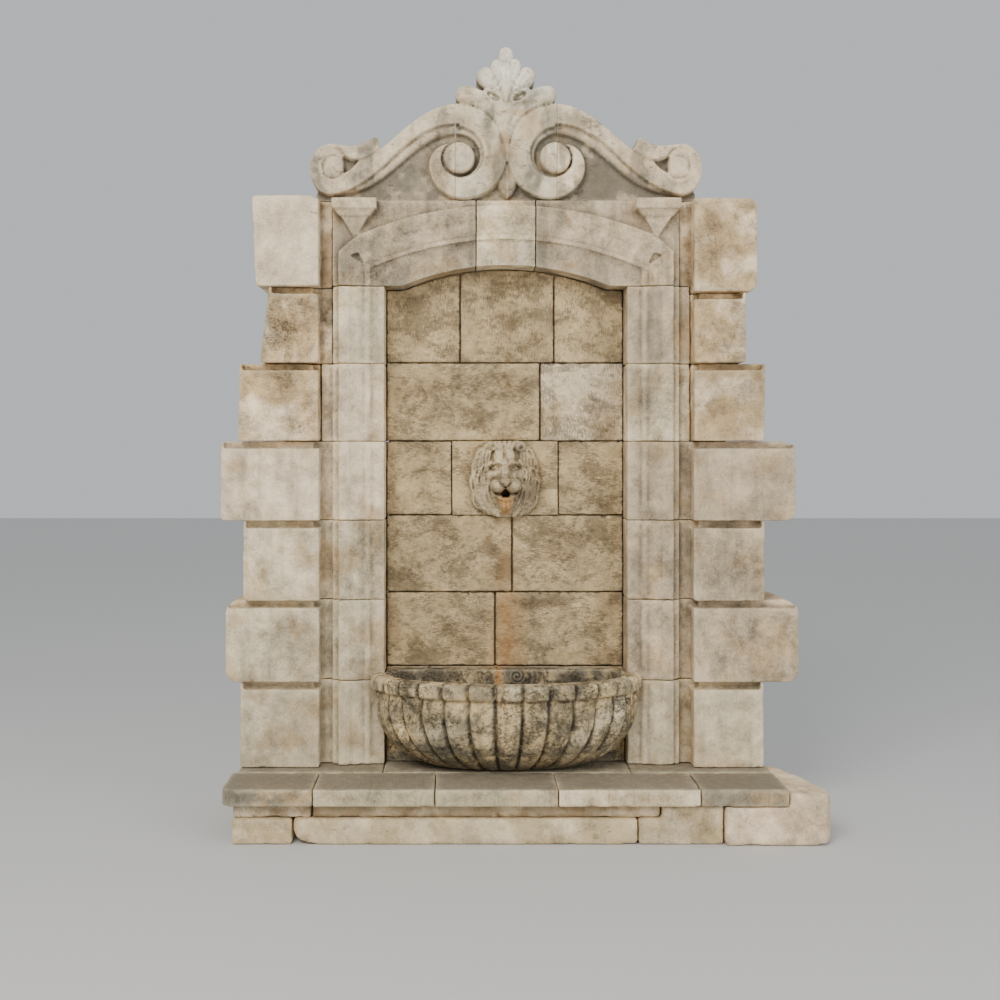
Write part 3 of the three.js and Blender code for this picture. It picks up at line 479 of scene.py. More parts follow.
def linked_solid(name, mesh):
    """A mesh in an object of its own, with its faces turned outwards."""
    piece = bpy.data.objects.new(name, mesh)
    bpy.context.scene.collection.objects.link(piece)
    select_only(piece)
    bpy.ops.object.mode_set(mode="EDIT")
    bpy.ops.mesh.select_all(action="SELECT")
    bpy.ops.mesh.normals_make_consistent(inside=False)
    bpy.ops.object.mode_set(mode="OBJECT")
    return piece


def joined(pieces, name):
    """The first piece with all the others joined to it."""
    select_only(pieces[0])
    for piece in pieces[1:]:
        piece.select_set(True)
    bpy.ops.object.join()
    whole = bpy.context.view_layer.objects.active
    whole.name = name
    return whole


def stand_forward(points, front, back, forward):
    """Points of a flat-fronted solid, drawn back from its front to a carved face."""
    share = np.clip((back - points[:, 1]) / (back - front), 0, 1)
    moved = points.copy()
    moved[:, 1] = np.where(points[:, 1] < back, back - share * (back + forward), points[:, 1])
    return moved


# Pediment: heights are above the wall's top, and each half is drawn as the right one

EYE_RADIUS = 64
VOLUTE_Z = 170
STEM_X = 5
HALVES = ((-1, 188, 525), (1, 197, 539))  # side, the volute's middle and the scroll's tip

# Depths of the uncarved solids, in metres
FLAT_FRONT = -0.03
SCROLL_BACK = 0.215
LEAF_BACK = 0.155
STEM_BACK = 0.11
CARVED_TO = 0.1

# Saw cuts between the pediment's three stones
CUTS = (-1.0, -0.204, 0.204, 1.0)
HALF_JOINT = 0.001


def mirrored(outline, side):
    return np.asarray(outline, dtype=float) * np.array([side, 1])


def volute_outer(turn):
    return 212 - 74 * turn + 24 * turn**2 - 128 * turn**3


def volute_inner(turn):
    return EYE_RADIUS + 6 + 52 * max(0, 1 - turn / 0.9) ** 2


def volute_step(turn):
    return 0.55 * volute_inner(turn) + 0.45 * EYE_RADIUS


def spiral_band(outer, inner, turns, centre_x):
    """A band that winds in from the top of a volute."""
    edges = []
    for radius in (outer, inner):
        turn = np.linspace(0, turns, 40)
        reach = np.array([radius(share) for share in turn])
        angle = 2 * math.pi * turn
        edges.append(np.array([centre_x - reach * np.sin(angle), VOLUTE_Z + reach * np.cos(angle)]).T)
    return np.vstack([edges[0], edges[1][::-1]])


def scroll_outline(tip_x):
    """The flat of the long scroll, from the volute down to its small end."""
    upper = [(180, 384), *bezier((197, 385), (300, 387), (392, 302), (504, 200))]
    tip = [(tip_x - 16, 222), (tip_x - 10, 248), (tip_x, 252)]
    leaf_back = bezier((tip_x, 252), (580, 220), (600, 207), (700, 226), steps=6)[1:-1]
    end = oval(700, 122, 88, 104, start=90, end=-90, steps=20)
    lower = [(180, 303), *bezier((197, 303), (420, 300), (490, 45), (702, 18), steps=20)]
    return np.vstack([upper, tip, leaf_back, end, lower[::-1][1:]])


def moulding_outline():
    """The moulding that runs under the scroll."""
    upper = [(180, 313), *bezier((197, 313), (420, 310), (490, 60), (702, 18), steps=20)]
    lower = [(180, 266), *bezier((197, 266), (380, 258), (450, 52), (640, 24), steps=20)]
    return np.vstack([upper, lower[::-1]])


def leaf_outline(tip_x):
    """The leaf that curls up from the small end."""
    under = bezier((652, 178), (620, 150), (570, 146), (508, 200), steps=8)
    tip = [(tip_x - 14, 232), (tip_x - 8, 247)]
    over = bezier((tip_x + 2, 249), (580, 217), (600, 206), (676, 220), steps=8)
    return np.vstack([under, tip, over])


def back_outline():
    half = [
        (0, 400), (110, 396), (204, 383), (300, 330), (400, 250), (480, 170), (560, 100), (650, 55), (745, 50),
        (766, 30), (766, 0),
    ]
    return np.array([*half, *[(-x, z) for x, z in reversed(half[1:])]])


def trunk_outline():
    half = [(0, 560), (40, 500), (84, 452), (128, 400), (150, 388)]
    flare = bezier((120, 366), (66, 330), (26, 310), (11, 212), steps=10)
    half = [*half, *map(tuple, flare), (9, 150)]
    return np.array([*half, *[(-x, z) for x, z in reversed(half[1:])]]) + np.array([STEM_X, 0])


def drop_outline():
    half = [(7, 190), (9, 150), (20, 122), (36, 98), (42, 76), (37, 52), (22, 26), (0, 5)]
    return np.array([*half, *[(-x, z) for x, z in reversed(half[:-1])]]) + np.array([STEM_X, 0])


# Leaves of the palmette, from the back ones forward: root, tip, half width, and how far each stands forward
PALMETTE = [
    ((44, 396), (203, 429), 39, 14),
    ((22, 424), (106, 523), 37, 17),
    ((7, 424), (41, 562), 29, 20),
    ((0, 488), (0, 611), 30, 17),
    ((0, 380), (0, 548), 27, 24),
]


def petal(root, tip, half_width):
    """A leaf's outline: narrow at the root, full and round towards the tip."""
    share = np.linspace(0, 1, 22)
    width = share**0.85 * (1 - share) ** 0.42
    width *= half_width / width.max()
    root, tip = np.array(root, dtype=float), np.array(tip, dtype=float)
    along = tip - root
    across = np.array([along[1], -along[0]]) / math.hypot(*along)
    middle = root + share[:, None] * along
    return np.vstack([middle + width[:, None] * across, (middle - width[:, None] * across)[::-1][1:-1]])


def palmette_leaves():
    for root, tip, half_width, top in PALMETTE:
        for side in (-1, 1) if tip[0] else (1,):
            yield mirrored(root, side), mirrored(tip, side), half_width, top


def carve_pediment(place):
    """How far the pediment's face stands forward, in millimetres."""
    relief = Relief(place, -42.0)
    for side, volute_x, tip_x in HALVES:
        volute = np.array([side * volute_x, VOLUTE_Z])
        across, up = (place - volute).T
        turn = (np.arctan2(-side * across, up) / (2 * math.pi)) % 1
        relief.raise_shape(mirrored(moulding_outline(), side), -17, 20)
        relief.raise_shape(mirrored(scroll_outline(tip_x), side), 0, 8)
        step = spiral_band(lambda share: volute_inner(share) + 5, volute_step, 0.66, volute_x)
        relief.raise_shape(mirrored(step, side), -18, 12)
        flat = mirrored(spiral_band(volute_outer, volute_inner, 0.9, volute_x), side)
        relief.raise_shape(flat, 1 - 17 * smoothstep(0.42, 0.88, turn), 9)
        relief.raise_shape(oval(*volute, EYE_RADIUS - 2, EYE_RADIUS - 2), 2, 15)
        relief.press(*volute, 38, 38, 0, -5)

        # The small scroll at the end, with its leaf
        eye = np.array([side * 691, 130])
        relief.sink_shape(mirrored([(650, 168), (622, 156), (588, 166), (612, 138), (648, 112)], side), -30)
        relief.raise_shape(mirrored(leaf_outline(tip_x), side), 8, 10)
        relief.press(side * 580, 196, 46, 17, side * 10, 6)
        relief.groove(mirrored([(682, 203), (664, 196), (650, 178)], side), 4, 10)
        ring, curl = ((-60, -200), (-175, 95)) if side > 0 else ((240, 380), (85, 355))
        relief.groove(oval(*eye, 62, 66, 0, *ring, steps=20), 11, 3.5)
        relief.groove(oval(*eye, 44, 44, 0, *curl, steps=30), 4.5, 11)
        relief.raise_lobe(*eye, 41, 41, 0, -5, 12, 2.6)

    # The palmette, its trunk between the volutes and the leaf that hangs from it
    relief.raise_shape(trunk_outline(), 4, 11)
    for root, tip, half_width, top in palmette_leaves():
        leaf = petal(root, tip, half_width)
        relief.raise_shape(leaf, top, 0.8 * half_width)
        relief.groove([root + 0.3 * (tip - root), root + 0.82 * (tip - root)], 4, 4)
    for side in (-1, 1):
        relief.sink_shape(oval(side * 52 + 2, 413, 10, 27, side * 58), -20, 6)
        relief.raise_lobe(side * 60 + 2, 416, 6, 13, side * 58, -22, 14)
        relief.groove(bezier((side * 27, 470), (side * 34, 456), (side * 40, 444), (side * 58, 440)), 4, 9)
        relief.groove(bezier((STEM_X + side * 118, 372), (side * 70, 340), (side * 30, 318), (side * 16, 226)), 4, 8)
        relief.groove(bezier((side * 70, 385), (side * 40, 360), (side * 16, 330), (side * 8, 270)), 7, 4)
    relief.raise_shape(drop_outline(), -4, 34)
    relief.groove([(STEM_X, 110), (STEM_X, 8)], 5, -4)
    for side in (-1, 1):
        relief.groove(bezier((STEM_X, 125), (side * 26, 100), (side * 26, 60), (STEM_X, 20)), 3, 3)
    return relief.height


def pediment_solid(voxel):
    """The whole pediment before it is sawn into its three stones."""
    foot = node_box("pediment_middle")[0][2]
    shapes = [(back_outline(), SCROLL_BACK)]
    for side, _, tip_x in HALVES:
        for outline in (scroll_outline(tip_x), leaf_outline(tip_x)):
            shapes.append((mirrored(outline, side), SCROLL_BACK))
    shapes.append((trunk_outline(), STEM_BACK))
    for root, tip, half_width, _ in palmette_leaves():
        shapes.append((petal(root, tip, half_width), LEAF_BACK))
    whole = joined([solid_from_outline(outline, FLAT_FRONT, back, foot) for outline, back in shapes], "pediment")
    finish_with(whole, "REMESH", "one solid", mode="VOXEL", voxel_size=voxel)
    points = positions(whole.data)
    place = (points[:, (0, 2)] - np.array([0, foot])) * 1000
    height = carve_pediment(place) / 1000
    move_points(whole.data, stand_forward(points, FLAT_FRONT, CARVED_TO, height))
    finish_with(whole, "REMESH", "even faces", mode="VOXEL", voxel_size=voxel)
    return whole


def sawn(whole, name, low_x, high_x):
    """The part of a solid between two upright saw cuts."""
    piece = whole.copy()
    piece.data = whole.data.copy()
    piece.name = name
    bpy.context.scene.collection.objects.link(piece)
    select_only(piece)
    bpy.ops.object.mode_set(mode="EDIT")
    for x, side in ((low_x, -1), (high_x, 1)):
        bpy.ops.mesh.select_all(action="SELECT")
        bpy.ops.mesh.bisect(plane_co=(x, 0, 0), plane_no=(side, 0, 0), use_fill=True, clear_outer=True)
    bpy.ops.object.mode_set(mode="OBJECT")
    return piece


# Lion mask: places are measured from its middle

MASK_MIDDLE = 1359
MOUTH_Z = -62
JOINT = 2


def mane_outline():
    right = [
        (0, 152), (60, 153), (84, 146), (112, 112), (128, 78), (137, 36), (139, -10), (134, -62), (124, -104),
        (104, -140), (66, -158), (20, -161),
    ]
    left = [
        (-28, -159), (-74, -150), (-108, -128), (-130, -88), (-134, -30), (-131, 30), (-116, 82), (-84, 132),
        (-56, 151),
    ]
    return np.array([*right, *left], dtype=float)


def lion_relief(place):
    """How far the lion stands out of its stone, in millimetres."""
    relief = Relief(place, 0.0)
    relief.raise_shape(mane_outline(), 44, 30, slope=6)
    jitter = np.random.default_rng(7)

    # Mane: three tiers of locks that fall side by side, each tier over the next one down
    tiers = (
        (((64, -20), (82, -62), (62, -106), (42, -132)), (12, -3), (12, -3), (12, -3), (11, 4), 38),
        (((60, 56), (90, 42), (58, -2), (78, -46)), (13, -7), (13, -7), (14, -6), (11, -7), 44),
        (((44, 142), (76, 128), (54, 78), (76, 34)), (13, -9), (13, -10), (15, -8), (12, -8), 50),
    )
    for points, *steps, base in tiers:
        for side in (-1, 1):
            for count in range(6):
                shake = jitter.uniform(-2.5, 2.5, (4, 2)) + (0, 11 * (-1) ** count)
                line = [np.array(point) + count * np.array(step) for point, step in zip(points, steps)]
                line = bezier(*((point + nudge) * (side, 1) for point, nudge in zip(line, shake)), steps=12)
                relief.lock(line, 11, 3, base - 3 * count, 24, strands=3, combed=6)

    # Skull, ears, forehead and cheeks
    relief.raise_lobe(0, 20, 64, 100, 0, 24, 58, 2.2)
    for side, x, z in ((-1, -53, 134), (1, 62, 128)):
        relief.raise_lobe(x, z, 22, 23, side * 20, 58, 30)
        relief.press(x + 2, z - 4, 9, 12, side * 20, 26)
        relief.raise_lobe(side * 60, 12, 24, 27, 0, 34, 38)
        relief.raise_lobe(side * 22 - 4, 84, 22, 34, side * 6, 62, 24)
    for x, top in ((-34, 150), (-19, 156), (-2, 157), (15, 156), (32, 151)):
        line = bezier((0.6 * x, 104), (0.6 * x, 122), (1.1 * x, 132), (1.3 * x, top), steps=8)
        relief.lock(line, 12, 7, 52, 22, strands=2, combed=4)
    relief.groove(bezier((-6, 128), (-2, 104), (-7, 82), (-5, 58)), 5, 12)

    # Brows over deep-set eyes
    for side, x, z in ((-1, -35, 44), (1, 37, 43)):
        brow = bezier((side * 11, 54), (side * 22, 64), (x + side * 4, z + 24), (x + side * 27, z + 8))
        relief.groove(brow, 8, -17)
        relief.press(x, z, 20, 13, side * -8, 34)
        relief.raise_lobe(x, z - 1, 13, 9, side * -8, 40, 16)
        for rim in (9, -8):
            lid = bezier((x - 15, z - 2), (x - 7, z + rim), (x + 7, z + rim), (x + 15, z - 3))
            relief.groove(lid, 2.8, -10)
        relief.press(side * 26, 20, 9, 16, side * -20, 10)

    # Nose and muzzle
    relief.raise_lobe(-2, 16, 20, 66, 0, 62, 34, 2.6)
    for side in (-1, 1):
        relief.raise_lobe(side * 34 + 2, -30, 31, 30, side * 10, 58, 50)
        relief.press(side * 32, -2, 15, 7, side * 20, 9)
    relief.raise_lobe(0, -16, 23, 17, 0, 86, 26, 3)
    for side in (-1, 1):
        relief.groove(bezier((side * 1, -36), (side * 8, -32), (side * 17, -26), (side * 24, -14)), 3, 16)
        relief.press(side * 13, -24, 5, 4, side * 30, 10)
        for spot in range(3):
            relief.press(side * (26 + 9 * spot), -32 + 3 * spot, 2.5, 2.5, 0, 4)
    relief.groove([(0, -34), (1, -50)], 3, 16)

    # Open mouth over the jaw and the tongue, with small tufts under it
    relief.raise_shape([(-34, -66), (38, -66), (30, -112), (23, -141), (-14, -141), (-24, -112)], 78, 18, slope=5)
    relief.raise_lobe(2, -106, 24, 38, 0, 52, 38, 2.6)
    relief.groove([(2, -92), (3, -138)], 5, 8)
    relief.groove(bezier((-32, -80), (-14, -92), (18, -92), (36, -80)), 3, -7)
    for x, z in ((-43, -141), (-30, -150), (52, -137), (38, -149)):
        relief.raise_lobe(x, z, 12, 15, x / 4, 28, 24)
    for side in (-1, 1):
        slit = bezier((side * 10 + 2, -66), (side * 26 + 2, -72), (side * 42 + 2, -62), (side * 54 + 2, -48))
        relief.groove(slit, 4, 22)
        lip = bezier((side * 24 + 2, -80), (side * 40 + 2, -76), (side * 54 + 2, -64), (side * 60 + 2, -50))
        relief.groove(lip, 3.5, -9)
    hole = [(-15, -65), (-8, -55), (1, -46), (10, -55), (18, -65), (13, -74), (-8, -74)]
    relief.sink_shape(hole, -40, 30)
    return relief.height


def mask_solid(voxel):
    """The mask's stone, with the head carved on its face."""
    (_, face, low), (left, back, high) = node_box("panel_4_left")
    low, high, left = low * 1000, high * 1000, left * 1000 + JOINT
    right = node_box("panel_4_right")[0][0] * 1000 - JOINT
    front = node_box("mask_stone")[0][1] - 0.01
    block = [(left, low), (right, low), (right, high), (left, high)]
    head = mane_outline() + np.array([0, MASK_MIDDLE])
    solids = [solid_from_outline(block, front, back), solid_from_outline(head, front, face)]
    whole = joined(solids, "mask_stone_carved")
    finish_with(whole, "REMESH", "one solid", mode="VOXEL", voxel_size=voxel)
    points = positions(whole.data)
    place = points[:, (0, 2)] * 1000 - np.array([0, MASK_MIDDLE])
    forward = lion_relief(place) / 1000 - face
    beyond = (points[:, 2] * 1000 < low) | (points[:, 2] * 1000 > high)
    move_points(whole.data, stand_forward(points, front, np.where(beyond, face, face + 0.1), forward))
    finish_with(whole, "REMESH", "even faces", mode="VOXEL", voxel_size=voxel)
    return whole


# Basin: lengths in millimetres, heights above the slabs it stands on

BASIN_HEIGHT = 374
BASIN_HALF = 545
BASIN_DEPTH = 300
BASIN_LIP = 68
BASIN_WALL = 64
GADROONS = 15
GADROON_PITCH = math.radians(11.6)
BACK_FACE = 62
TONGUE_HALF = 484


def bowl_share(height):
    """How wide the bowl is at a height, as a share of its rim."""
    share = min(max(height / (BASIN_HEIGHT - BASIN_LIP), 0), 1)
    return 0.45 + 0.522 * (1 - (1 - share) ** 2.5) ** 0.62


def bowl_ring(height, share, lobe, notch, steps=14):
    """Points round the bowl at a height: full lobes parted by narrow furrows, and sharper notches in the lip."""
    depth, half = BASIN_DEPTH * share**1.7, BASIN_HALF * share
    count = GADROONS * steps
    across = (np.arange(count + 1) % steps) / steps * 2 - 1
    angle = (np.arange(count + 1) / steps - GADROONS / 2) * GADROON_PITCH
    rounding = 1 - (1 - np.abs(across) ** 2.4) ** (1 / 2.4)
    inset = lobe * rounding + notch * np.exp(-(((1 - np.abs(across)) / 0.12) ** 2))
    x = (half - inset) * np.sin(angle)
    y = np.minimum(-(depth - inset) * np.cos(angle), -2)
    sides = [(-half, -0.5), (-half, -1)], [(half, -1), (half, -0.5)]
    ring = np.vstack([sides[0], np.array([x, y]).T, sides[1]])
    return np.column_stack([ring, np.full(len(ring), height)])


def lofted(rings, name, high):
    """A solid skinned over rings of points, closed at both ends."""
    count = len(rings[0])
    points = np.vstack(rings) / 1000 + np.array([0, 0, high])
    faces = [tuple(reversed(range(count))), tuple(range((len(rings) - 1) * count, len(rings) * count))]
    for ring in range(len(rings) - 1):
        for k in range(count):
            a, b = ring * count + k, ring * count + (k + 1) % count
            faces.append((a, b, b + count, a + count))
    mesh = bpy.data.meshes.new(name)
    mesh.from_pydata(points.tolist(), [], faces)
    return linked_solid(name, mesh)


def bowl_hollow(foot):
    """The room for the water, as a solid to be cut out."""
    rings = []
    floor = 95
    for height, share in (
        (floor, 0.55), (floor + 8, 0.66), (floor + 35, 0.79), (floor + 95, 0.905), (floor + 180, 0.97),
        (BASIN_HEIGHT - 22, 0.985), (BASIN_HEIGHT - 6, 0.995), (BASIN_HEIGHT + 30, 1.02),
    ):
        half, depth = (BASIN_HALF - BASIN_WALL) * share, (BASIN_DEPTH - BASIN_WALL) * share**1.5
        back_half = min(half, TONGUE_HALF - BASIN_WALL)
        angle = np.linspace(-math.pi / 2, math.pi / 2, 49)
        bow = np.array([half * np.sin(angle), -2 - depth * np.cos(angle)]).T
        ring = np.vstack([(-back_half, BACK_FACE), bow, (back_half, BACK_FACE)])
        rings.append(np.column_stack([ring, np.full(len(ring), height)]))
    return lofted(rings, "basin hollow", foot)


def basin_solid(voxel):
    """The basin's block, carved outside and in."""
    (_, _, foot), (_, back, _) = node_box("basin")
    under = BASIN_HEIGHT - BASIN_LIP
    rings = []
    for height in np.linspace(0, under, 40):
        share = height / under
        lobe = 28 * (0.5 + 0.5 * math.sin(math.pi * min(share * 0.9 + 0.2, 1)))
        if share > 0.93:
            lobe += 26 * (share - 0.93) / 0.07 * 0.2
        rings.append(bowl_ring(height, bowl_share(height) - 0.012 * smoothstep(0.8, 1, share), lobe, 7))
    for height, share in (
        (under + 2, 0.95), (under + 6, 0.965), (under + 10, 0.985), (under + 16, 0.997), (under + 28, 1.0),
        (BASIN_HEIGHT - 24, 1.0), (BASIN_HEIGHT - 13, 0.998), (BASIN_HEIGHT - 6, 0.99), (BASIN_HEIGHT - 2, 0.979),
        (BASIN_HEIGHT, 0.965),
    ):
        rings.append(bowl_ring(height, share, 7, 22))
    bowl = lofted(rings, "basin bowl", foot)

    # The tongue that runs back between the jambs, and the wall of stone behind the bowl
    neck = [(min(BASIN_HALF * bowl_share(z), TONGUE_HALF), z) for z in np.linspace(0, under, 14)]
    neck.append((TONGUE_HALF, BASIN_HEIGHT - 3))
    neck_outline = np.array(neck + [(-x, z) for x, z in reversed(neck)])
    wall = [(-TONGUE_HALF, 0), (TONGUE_HALF, 0), (TONGUE_HALF, BASIN_HEIGHT - 3), (-TONGUE_HALF, BASIN_HEIGHT - 3)]
    solids = [
        bowl, solid_from_outline(neck_outline, -0.004, 0.07, foot),
        solid_from_outline(wall, BACK_FACE / 1000, back, foot),
    ]
    whole = joined(solids, "basin_carved")
    finish_with(whole, "REMESH", "one solid", mode="VOXEL", voxel_size=voxel)
    hollow = bowl_hollow(foot)
    finish_with(whole, "BOOLEAN", "hollow", object=hollow, operation="DIFFERENCE", solver="FAST")
    bpy.data.objects.remove(hollow)
    finish_with(whole, "REMESH", "even faces", mode="VOXEL", voxel_size=voxel)
    carve_back_of_basin(whole, foot)
    return whole


def carve_back_of_basin(piece, foot):
    """Two worn volutes and a leaf, low on the wall behind the water."""
    points = positions(piece.data)
    facing = positions(piece.data, "normal")
    place = points[:, (0, 2)] * 1000 - np.array([0, foot * 1000])
    relief = Relief(place, 0.0)
    for x, side in ((-71, -1), (46, 1)):
        turn = np.linspace(0, 2.2, 60)
        reach = 36 * (1 - turn / 2.6)
        angle = 2 * math.pi * turn
        line = np.array([x + side * reach * np.sin(angle), 345 + reach * np.cos(angle)]).T
        relief.groove(line, 4.5, -6)
    relief.groove(bezier((88, 372), (112, 360), (118, 330), (96, 300)), 7, -7)
    relief.groove(bezier((120, 372), (140, 350), (132, 322), (110, 300)), 5, -5)
    on_wall = (facing[:, 1] < -0.7) & (points[:, 1] > 0.045) & (points[:, 1] < 0.08)
    points[:, 1] -= np.where(on_wall, relief.height / 1000, 0)
    move_points(piece.data, points)


# Materials: groups of nodes that several stones share, and what each material adds to them

FLOAT = "NodeSocketFloat"
COLOUR = "NodeSocketColor"
VECTOR = "NodeSocketVector"


class Nodes:
    """Shorthand for adding nodes to a tree and linking them."""

    def __init__(self, tree):
        self.tree = tree

    def add(self, kind, inputs=None, **settings):
        """A node with these settings, and these values or links in its sockets."""
        node = self.tree.nodes.new(kind)
        for key, value in settings.items():
            setattr(node, key, value)
        for key, value in (inputs or {}).items():
            if isinstance(value, bpy.types.NodeSocket):
                self.tree.links.new(value, node.inputs[key])
            else:
                node.inputs[key].default_value = value
        return node

    def placed(self, group, inputs=None):
        """The outputs of a shared group, with these values in its sockets."""
        return self.add("ShaderNodeGroup", inputs, node_tree=shared_group(group)).outputs

    def math(self, operation, a, b=0.0, clamp=False):
        return self.add("ShaderNodeMath", {0: a, 1: b}, operation=operation, use_clamp=clamp).outputs[0]

    def strays(self, value, gain, middle=0.5):
        """How far a noise strays from its middle, times a gain."""
        return self.math("MULTIPLY", self.math("SUBTRACT", value, middle), gain)

    def span(self, value, low, high, to_low=0.0, to_high=1.0):
        inputs = dict(enumerate((value, low, high, to_low, to_high)))
        return self.add("ShaderNodeMapRange", inputs, interpolation_type="SMOOTHSTEP").outputs[0]

    def mix(self, share, a, b):
        inputs = {"Factor": share, 6: a, 7: b}
        return self.add("ShaderNodeMix", inputs, data_type="RGBA", clamp_factor=True).outputs[2]

    def noise(self, place, scale, detail, roughness, distortion=0.0):
        inputs = {"Vector": place, "Scale": scale, "Detail": detail, "Roughness": roughness, "Distortion": distortion}
        return self.add("ShaderNodeTexNoise", inputs).outputs["Fac"]

    def attribute(self, name, output="Fac"):
        return self.add("ShaderNodeAttribute", attribute_name=name).outputs[output]

    def stretched(self, place, scale):
        return self.add("ShaderNodeVectorMath", {0: place, 1: scale}, operation="MULTIPLY").outputs[0]

    def moved(self, place, by):
        return self.add("ShaderNodeVectorMath", {0: place, 1: by}, operation="ADD").outputs[0]


def quarry_place(nodes, source):
    """Object coordinates moved to a place of each stone's own, so that no vein runs across a joint."""
    place = nodes.add("ShaderNodeTexCoord").outputs["Object"]
    return {"Place": nodes.moved(place, nodes.attribute("quarry", "Vector"))}


def mottling(nodes, source):
    """Clouds, blotches and grain in a stone's own tint."""
    place = source["Place"]
    cloud = nodes.noise(nodes.stretched(place, (1.2, 1.2, 0.8)), 3.6, 5, 0.58, 0.2)
    blotch = nodes.noise(nodes.moved(place, (3.1, 1.7, 5.9)), 13, 8, 0.7, 0.25)
    grain = nodes.noise(place, 110, 6, 0.8)
    warmth = nodes.noise(nodes.moved(place, (7.3, 2.9, 1.1)), 5.5, 5, 0.6, 0.2)
    colour = nodes.mix(nodes.span(warmth, 0.46, 0.66, 0.0, 0.75), source["Tint"], source["Warm"])
    light = nodes.math("ADD", nodes.strays(cloud, 1.3), nodes.strays(blotch, 1.5))
    light = nodes.math("ADD", light, nodes.strays(grain, 1.1))
    light = nodes.math("ADD", nodes.math("MULTIPLY", light, source["Strength"]), 1.0)
    scaled = nodes.add("ShaderNodeVectorMath", {0: colour, "Scale": light}, operation="SCALE").outputs[0]
    patch = nodes.noise(nodes.moved(place, (1.9, 8.3, 4.7)), 7, 10, 0.78, 0.3)
    dark = nodes.math("MULTIPLY", nodes.span(patch, 0.52, 0.7), source["Darkness"], clamp=True)
    return {"Color": nodes.mix(dark, scaled, source["Dark"]), "Blotch": blotch}


def shade_grime_and_edge_light(nodes, source):
    """Painted shade with dark growth in the hollows, and a painted highlight with pale wear on the arrises."""
    broken = nodes.noise(source["Place"], 14, 8, 0.72)
    # Painted shade in the hollows, broken up and mixed with grime
    settled = nodes.math("MULTIPLY", nodes.attribute("hollow"), nodes.span(broken, 0.34, 0.62, 0.25, 1.0))
    settled = nodes.math("MULTIPLY", settled, source["Grime and shade"], clamp=True)
    # Painted highlight on the arrises, broken up and mixed with pale wear
    rubbed = nodes.math("MULTIPLY", nodes.attribute("arris_wear_and_highlight"), nodes.span(broken, 0.35, 0.6, 0.2, 1.0))
    rubbed = nodes.math("MULTIPLY", rubbed, source["Bloom and highlight"], clamp=True)
    colour = nodes.mix(rubbed, source["Color"], source["Bloom colour"])
    return {"Color": nodes.mix(settled, colour, source["Grime colour"])}


def flecks(nodes, source):
    """Short dark flecks and pits, thick in some places and thin in others."""
    place = source["Place"]
    fleck = nodes.noise(nodes.stretched(place, (1, 1, 2.3)), source["Size"], 7, 0.74, 0.9)
    share = nodes.math("ADD", nodes.strays(nodes.noise(place, 9, 6, 0.7, 0.7), 0.9), source["Cover"])
    dark = nodes.span(nodes.math("ADD", fleck, nodes.math("SUBTRACT", share, 0.5)), 0.53, 0.66)
    return {"Flecks": dark, "Height": nodes.math("SUBTRACT", 1.0, dark)}


def tooling(nodes, source):
    """Short strokes of the point, level on most stones and upright on some, thick and thin in clouds."""
    place = source["Place"]
    level = nodes.noise(nodes.stretched(place, (0.36, 0.6, 1.25)), 150, 8, 0.82, 0.2)
    upright = nodes.noise(nodes.stretched(place, (1.3, 0.6, 0.3)), 150, 8, 0.82, 0.2)
    either = {0: nodes.attribute("upright"), 2: level, 3: upright}
    strokes = nodes.add("ShaderNodeMix", either, data_type="FLOAT").outputs[0]
    crowd = nodes.noise(nodes.stretched(place, (0.8, 1, 1.2)), 7.5, 7, 0.72, 0.6)
    crowded = nodes.math("ADD", strokes, nodes.strays(crowd, 1.05, 0.48))
    return {
        "Dark": nodes.span(crowded, 0.48, 0.6), "Light": nodes.span(crowded, 0.46, 0.3),
        "Height": nodes.math("SUBTRACT", 1.0, strokes),
    }


# The nodes of each group, its inputs with their starting values and its outputs
GREY = (0.5, 0.5, 0.5, 1)
ORIGIN = (0, 0, 0)
GROUPS = {
    "Quarry place": (quarry_place, {}, {"Place": VECTOR}),
    "Mottled stone": (
        mottling,
        {"Place": ORIGIN, "Tint": GREY, "Warm": GREY, "Dark": GREY, "Strength": 1.0, "Darkness": 0.4},
        {"Color": COLOUR, "Blotch": FLOAT},
    ),
    "Shade, grime and edge light": (
        shade_grime_and_edge_light,
        {"Color": GREY, "Place": ORIGIN, "Grime colour": GREY, "Bloom colour": GREY, "Grime and shade": 0.6, "Bloom and highlight": 0.4},
        {"Color": COLOUR},
    ),
    "Flecks": (flecks, {"Place": ORIGIN, "Size": 60.0, "Cover": 0.5}, {"Flecks": FLOAT, "Height": FLOAT}),
    "Tooling": (tooling, {"Place": ORIGIN}, {"Dark": FLOAT, "Light": FLOAT, "Height": FLOAT}),
}


def shared_group(name):
    """A group of nodes that several materials share, built when it is first placed."""
    tree = bpy.data.node_groups.get(name)
    if tree is None:
        fill, inputs, outputs = GROUPS[name]
        tree = bpy.data.node_groups.new(name, "ShaderNodeTree")
        for label, value in inputs.items():
            kind = FLOAT if isinstance(value, float) else VECTOR if len(value) == 3 else COLOUR
            tree.interface.new_socket(label, in_out="INPUT", socket_type=kind).default_value = value
        for label, kind in outputs.items():
            tree.interface.new_socket(label, in_out="OUTPUT", socket_type=kind)
        nodes = Nodes(tree)
        nodes.add("NodeGroupOutput", fill(nodes, nodes.add("NodeGroupInput").outputs))
    return tree


def stone_colour(name):
    return (*getattr(bpy.context.scene.fountain_colours, name), 1)


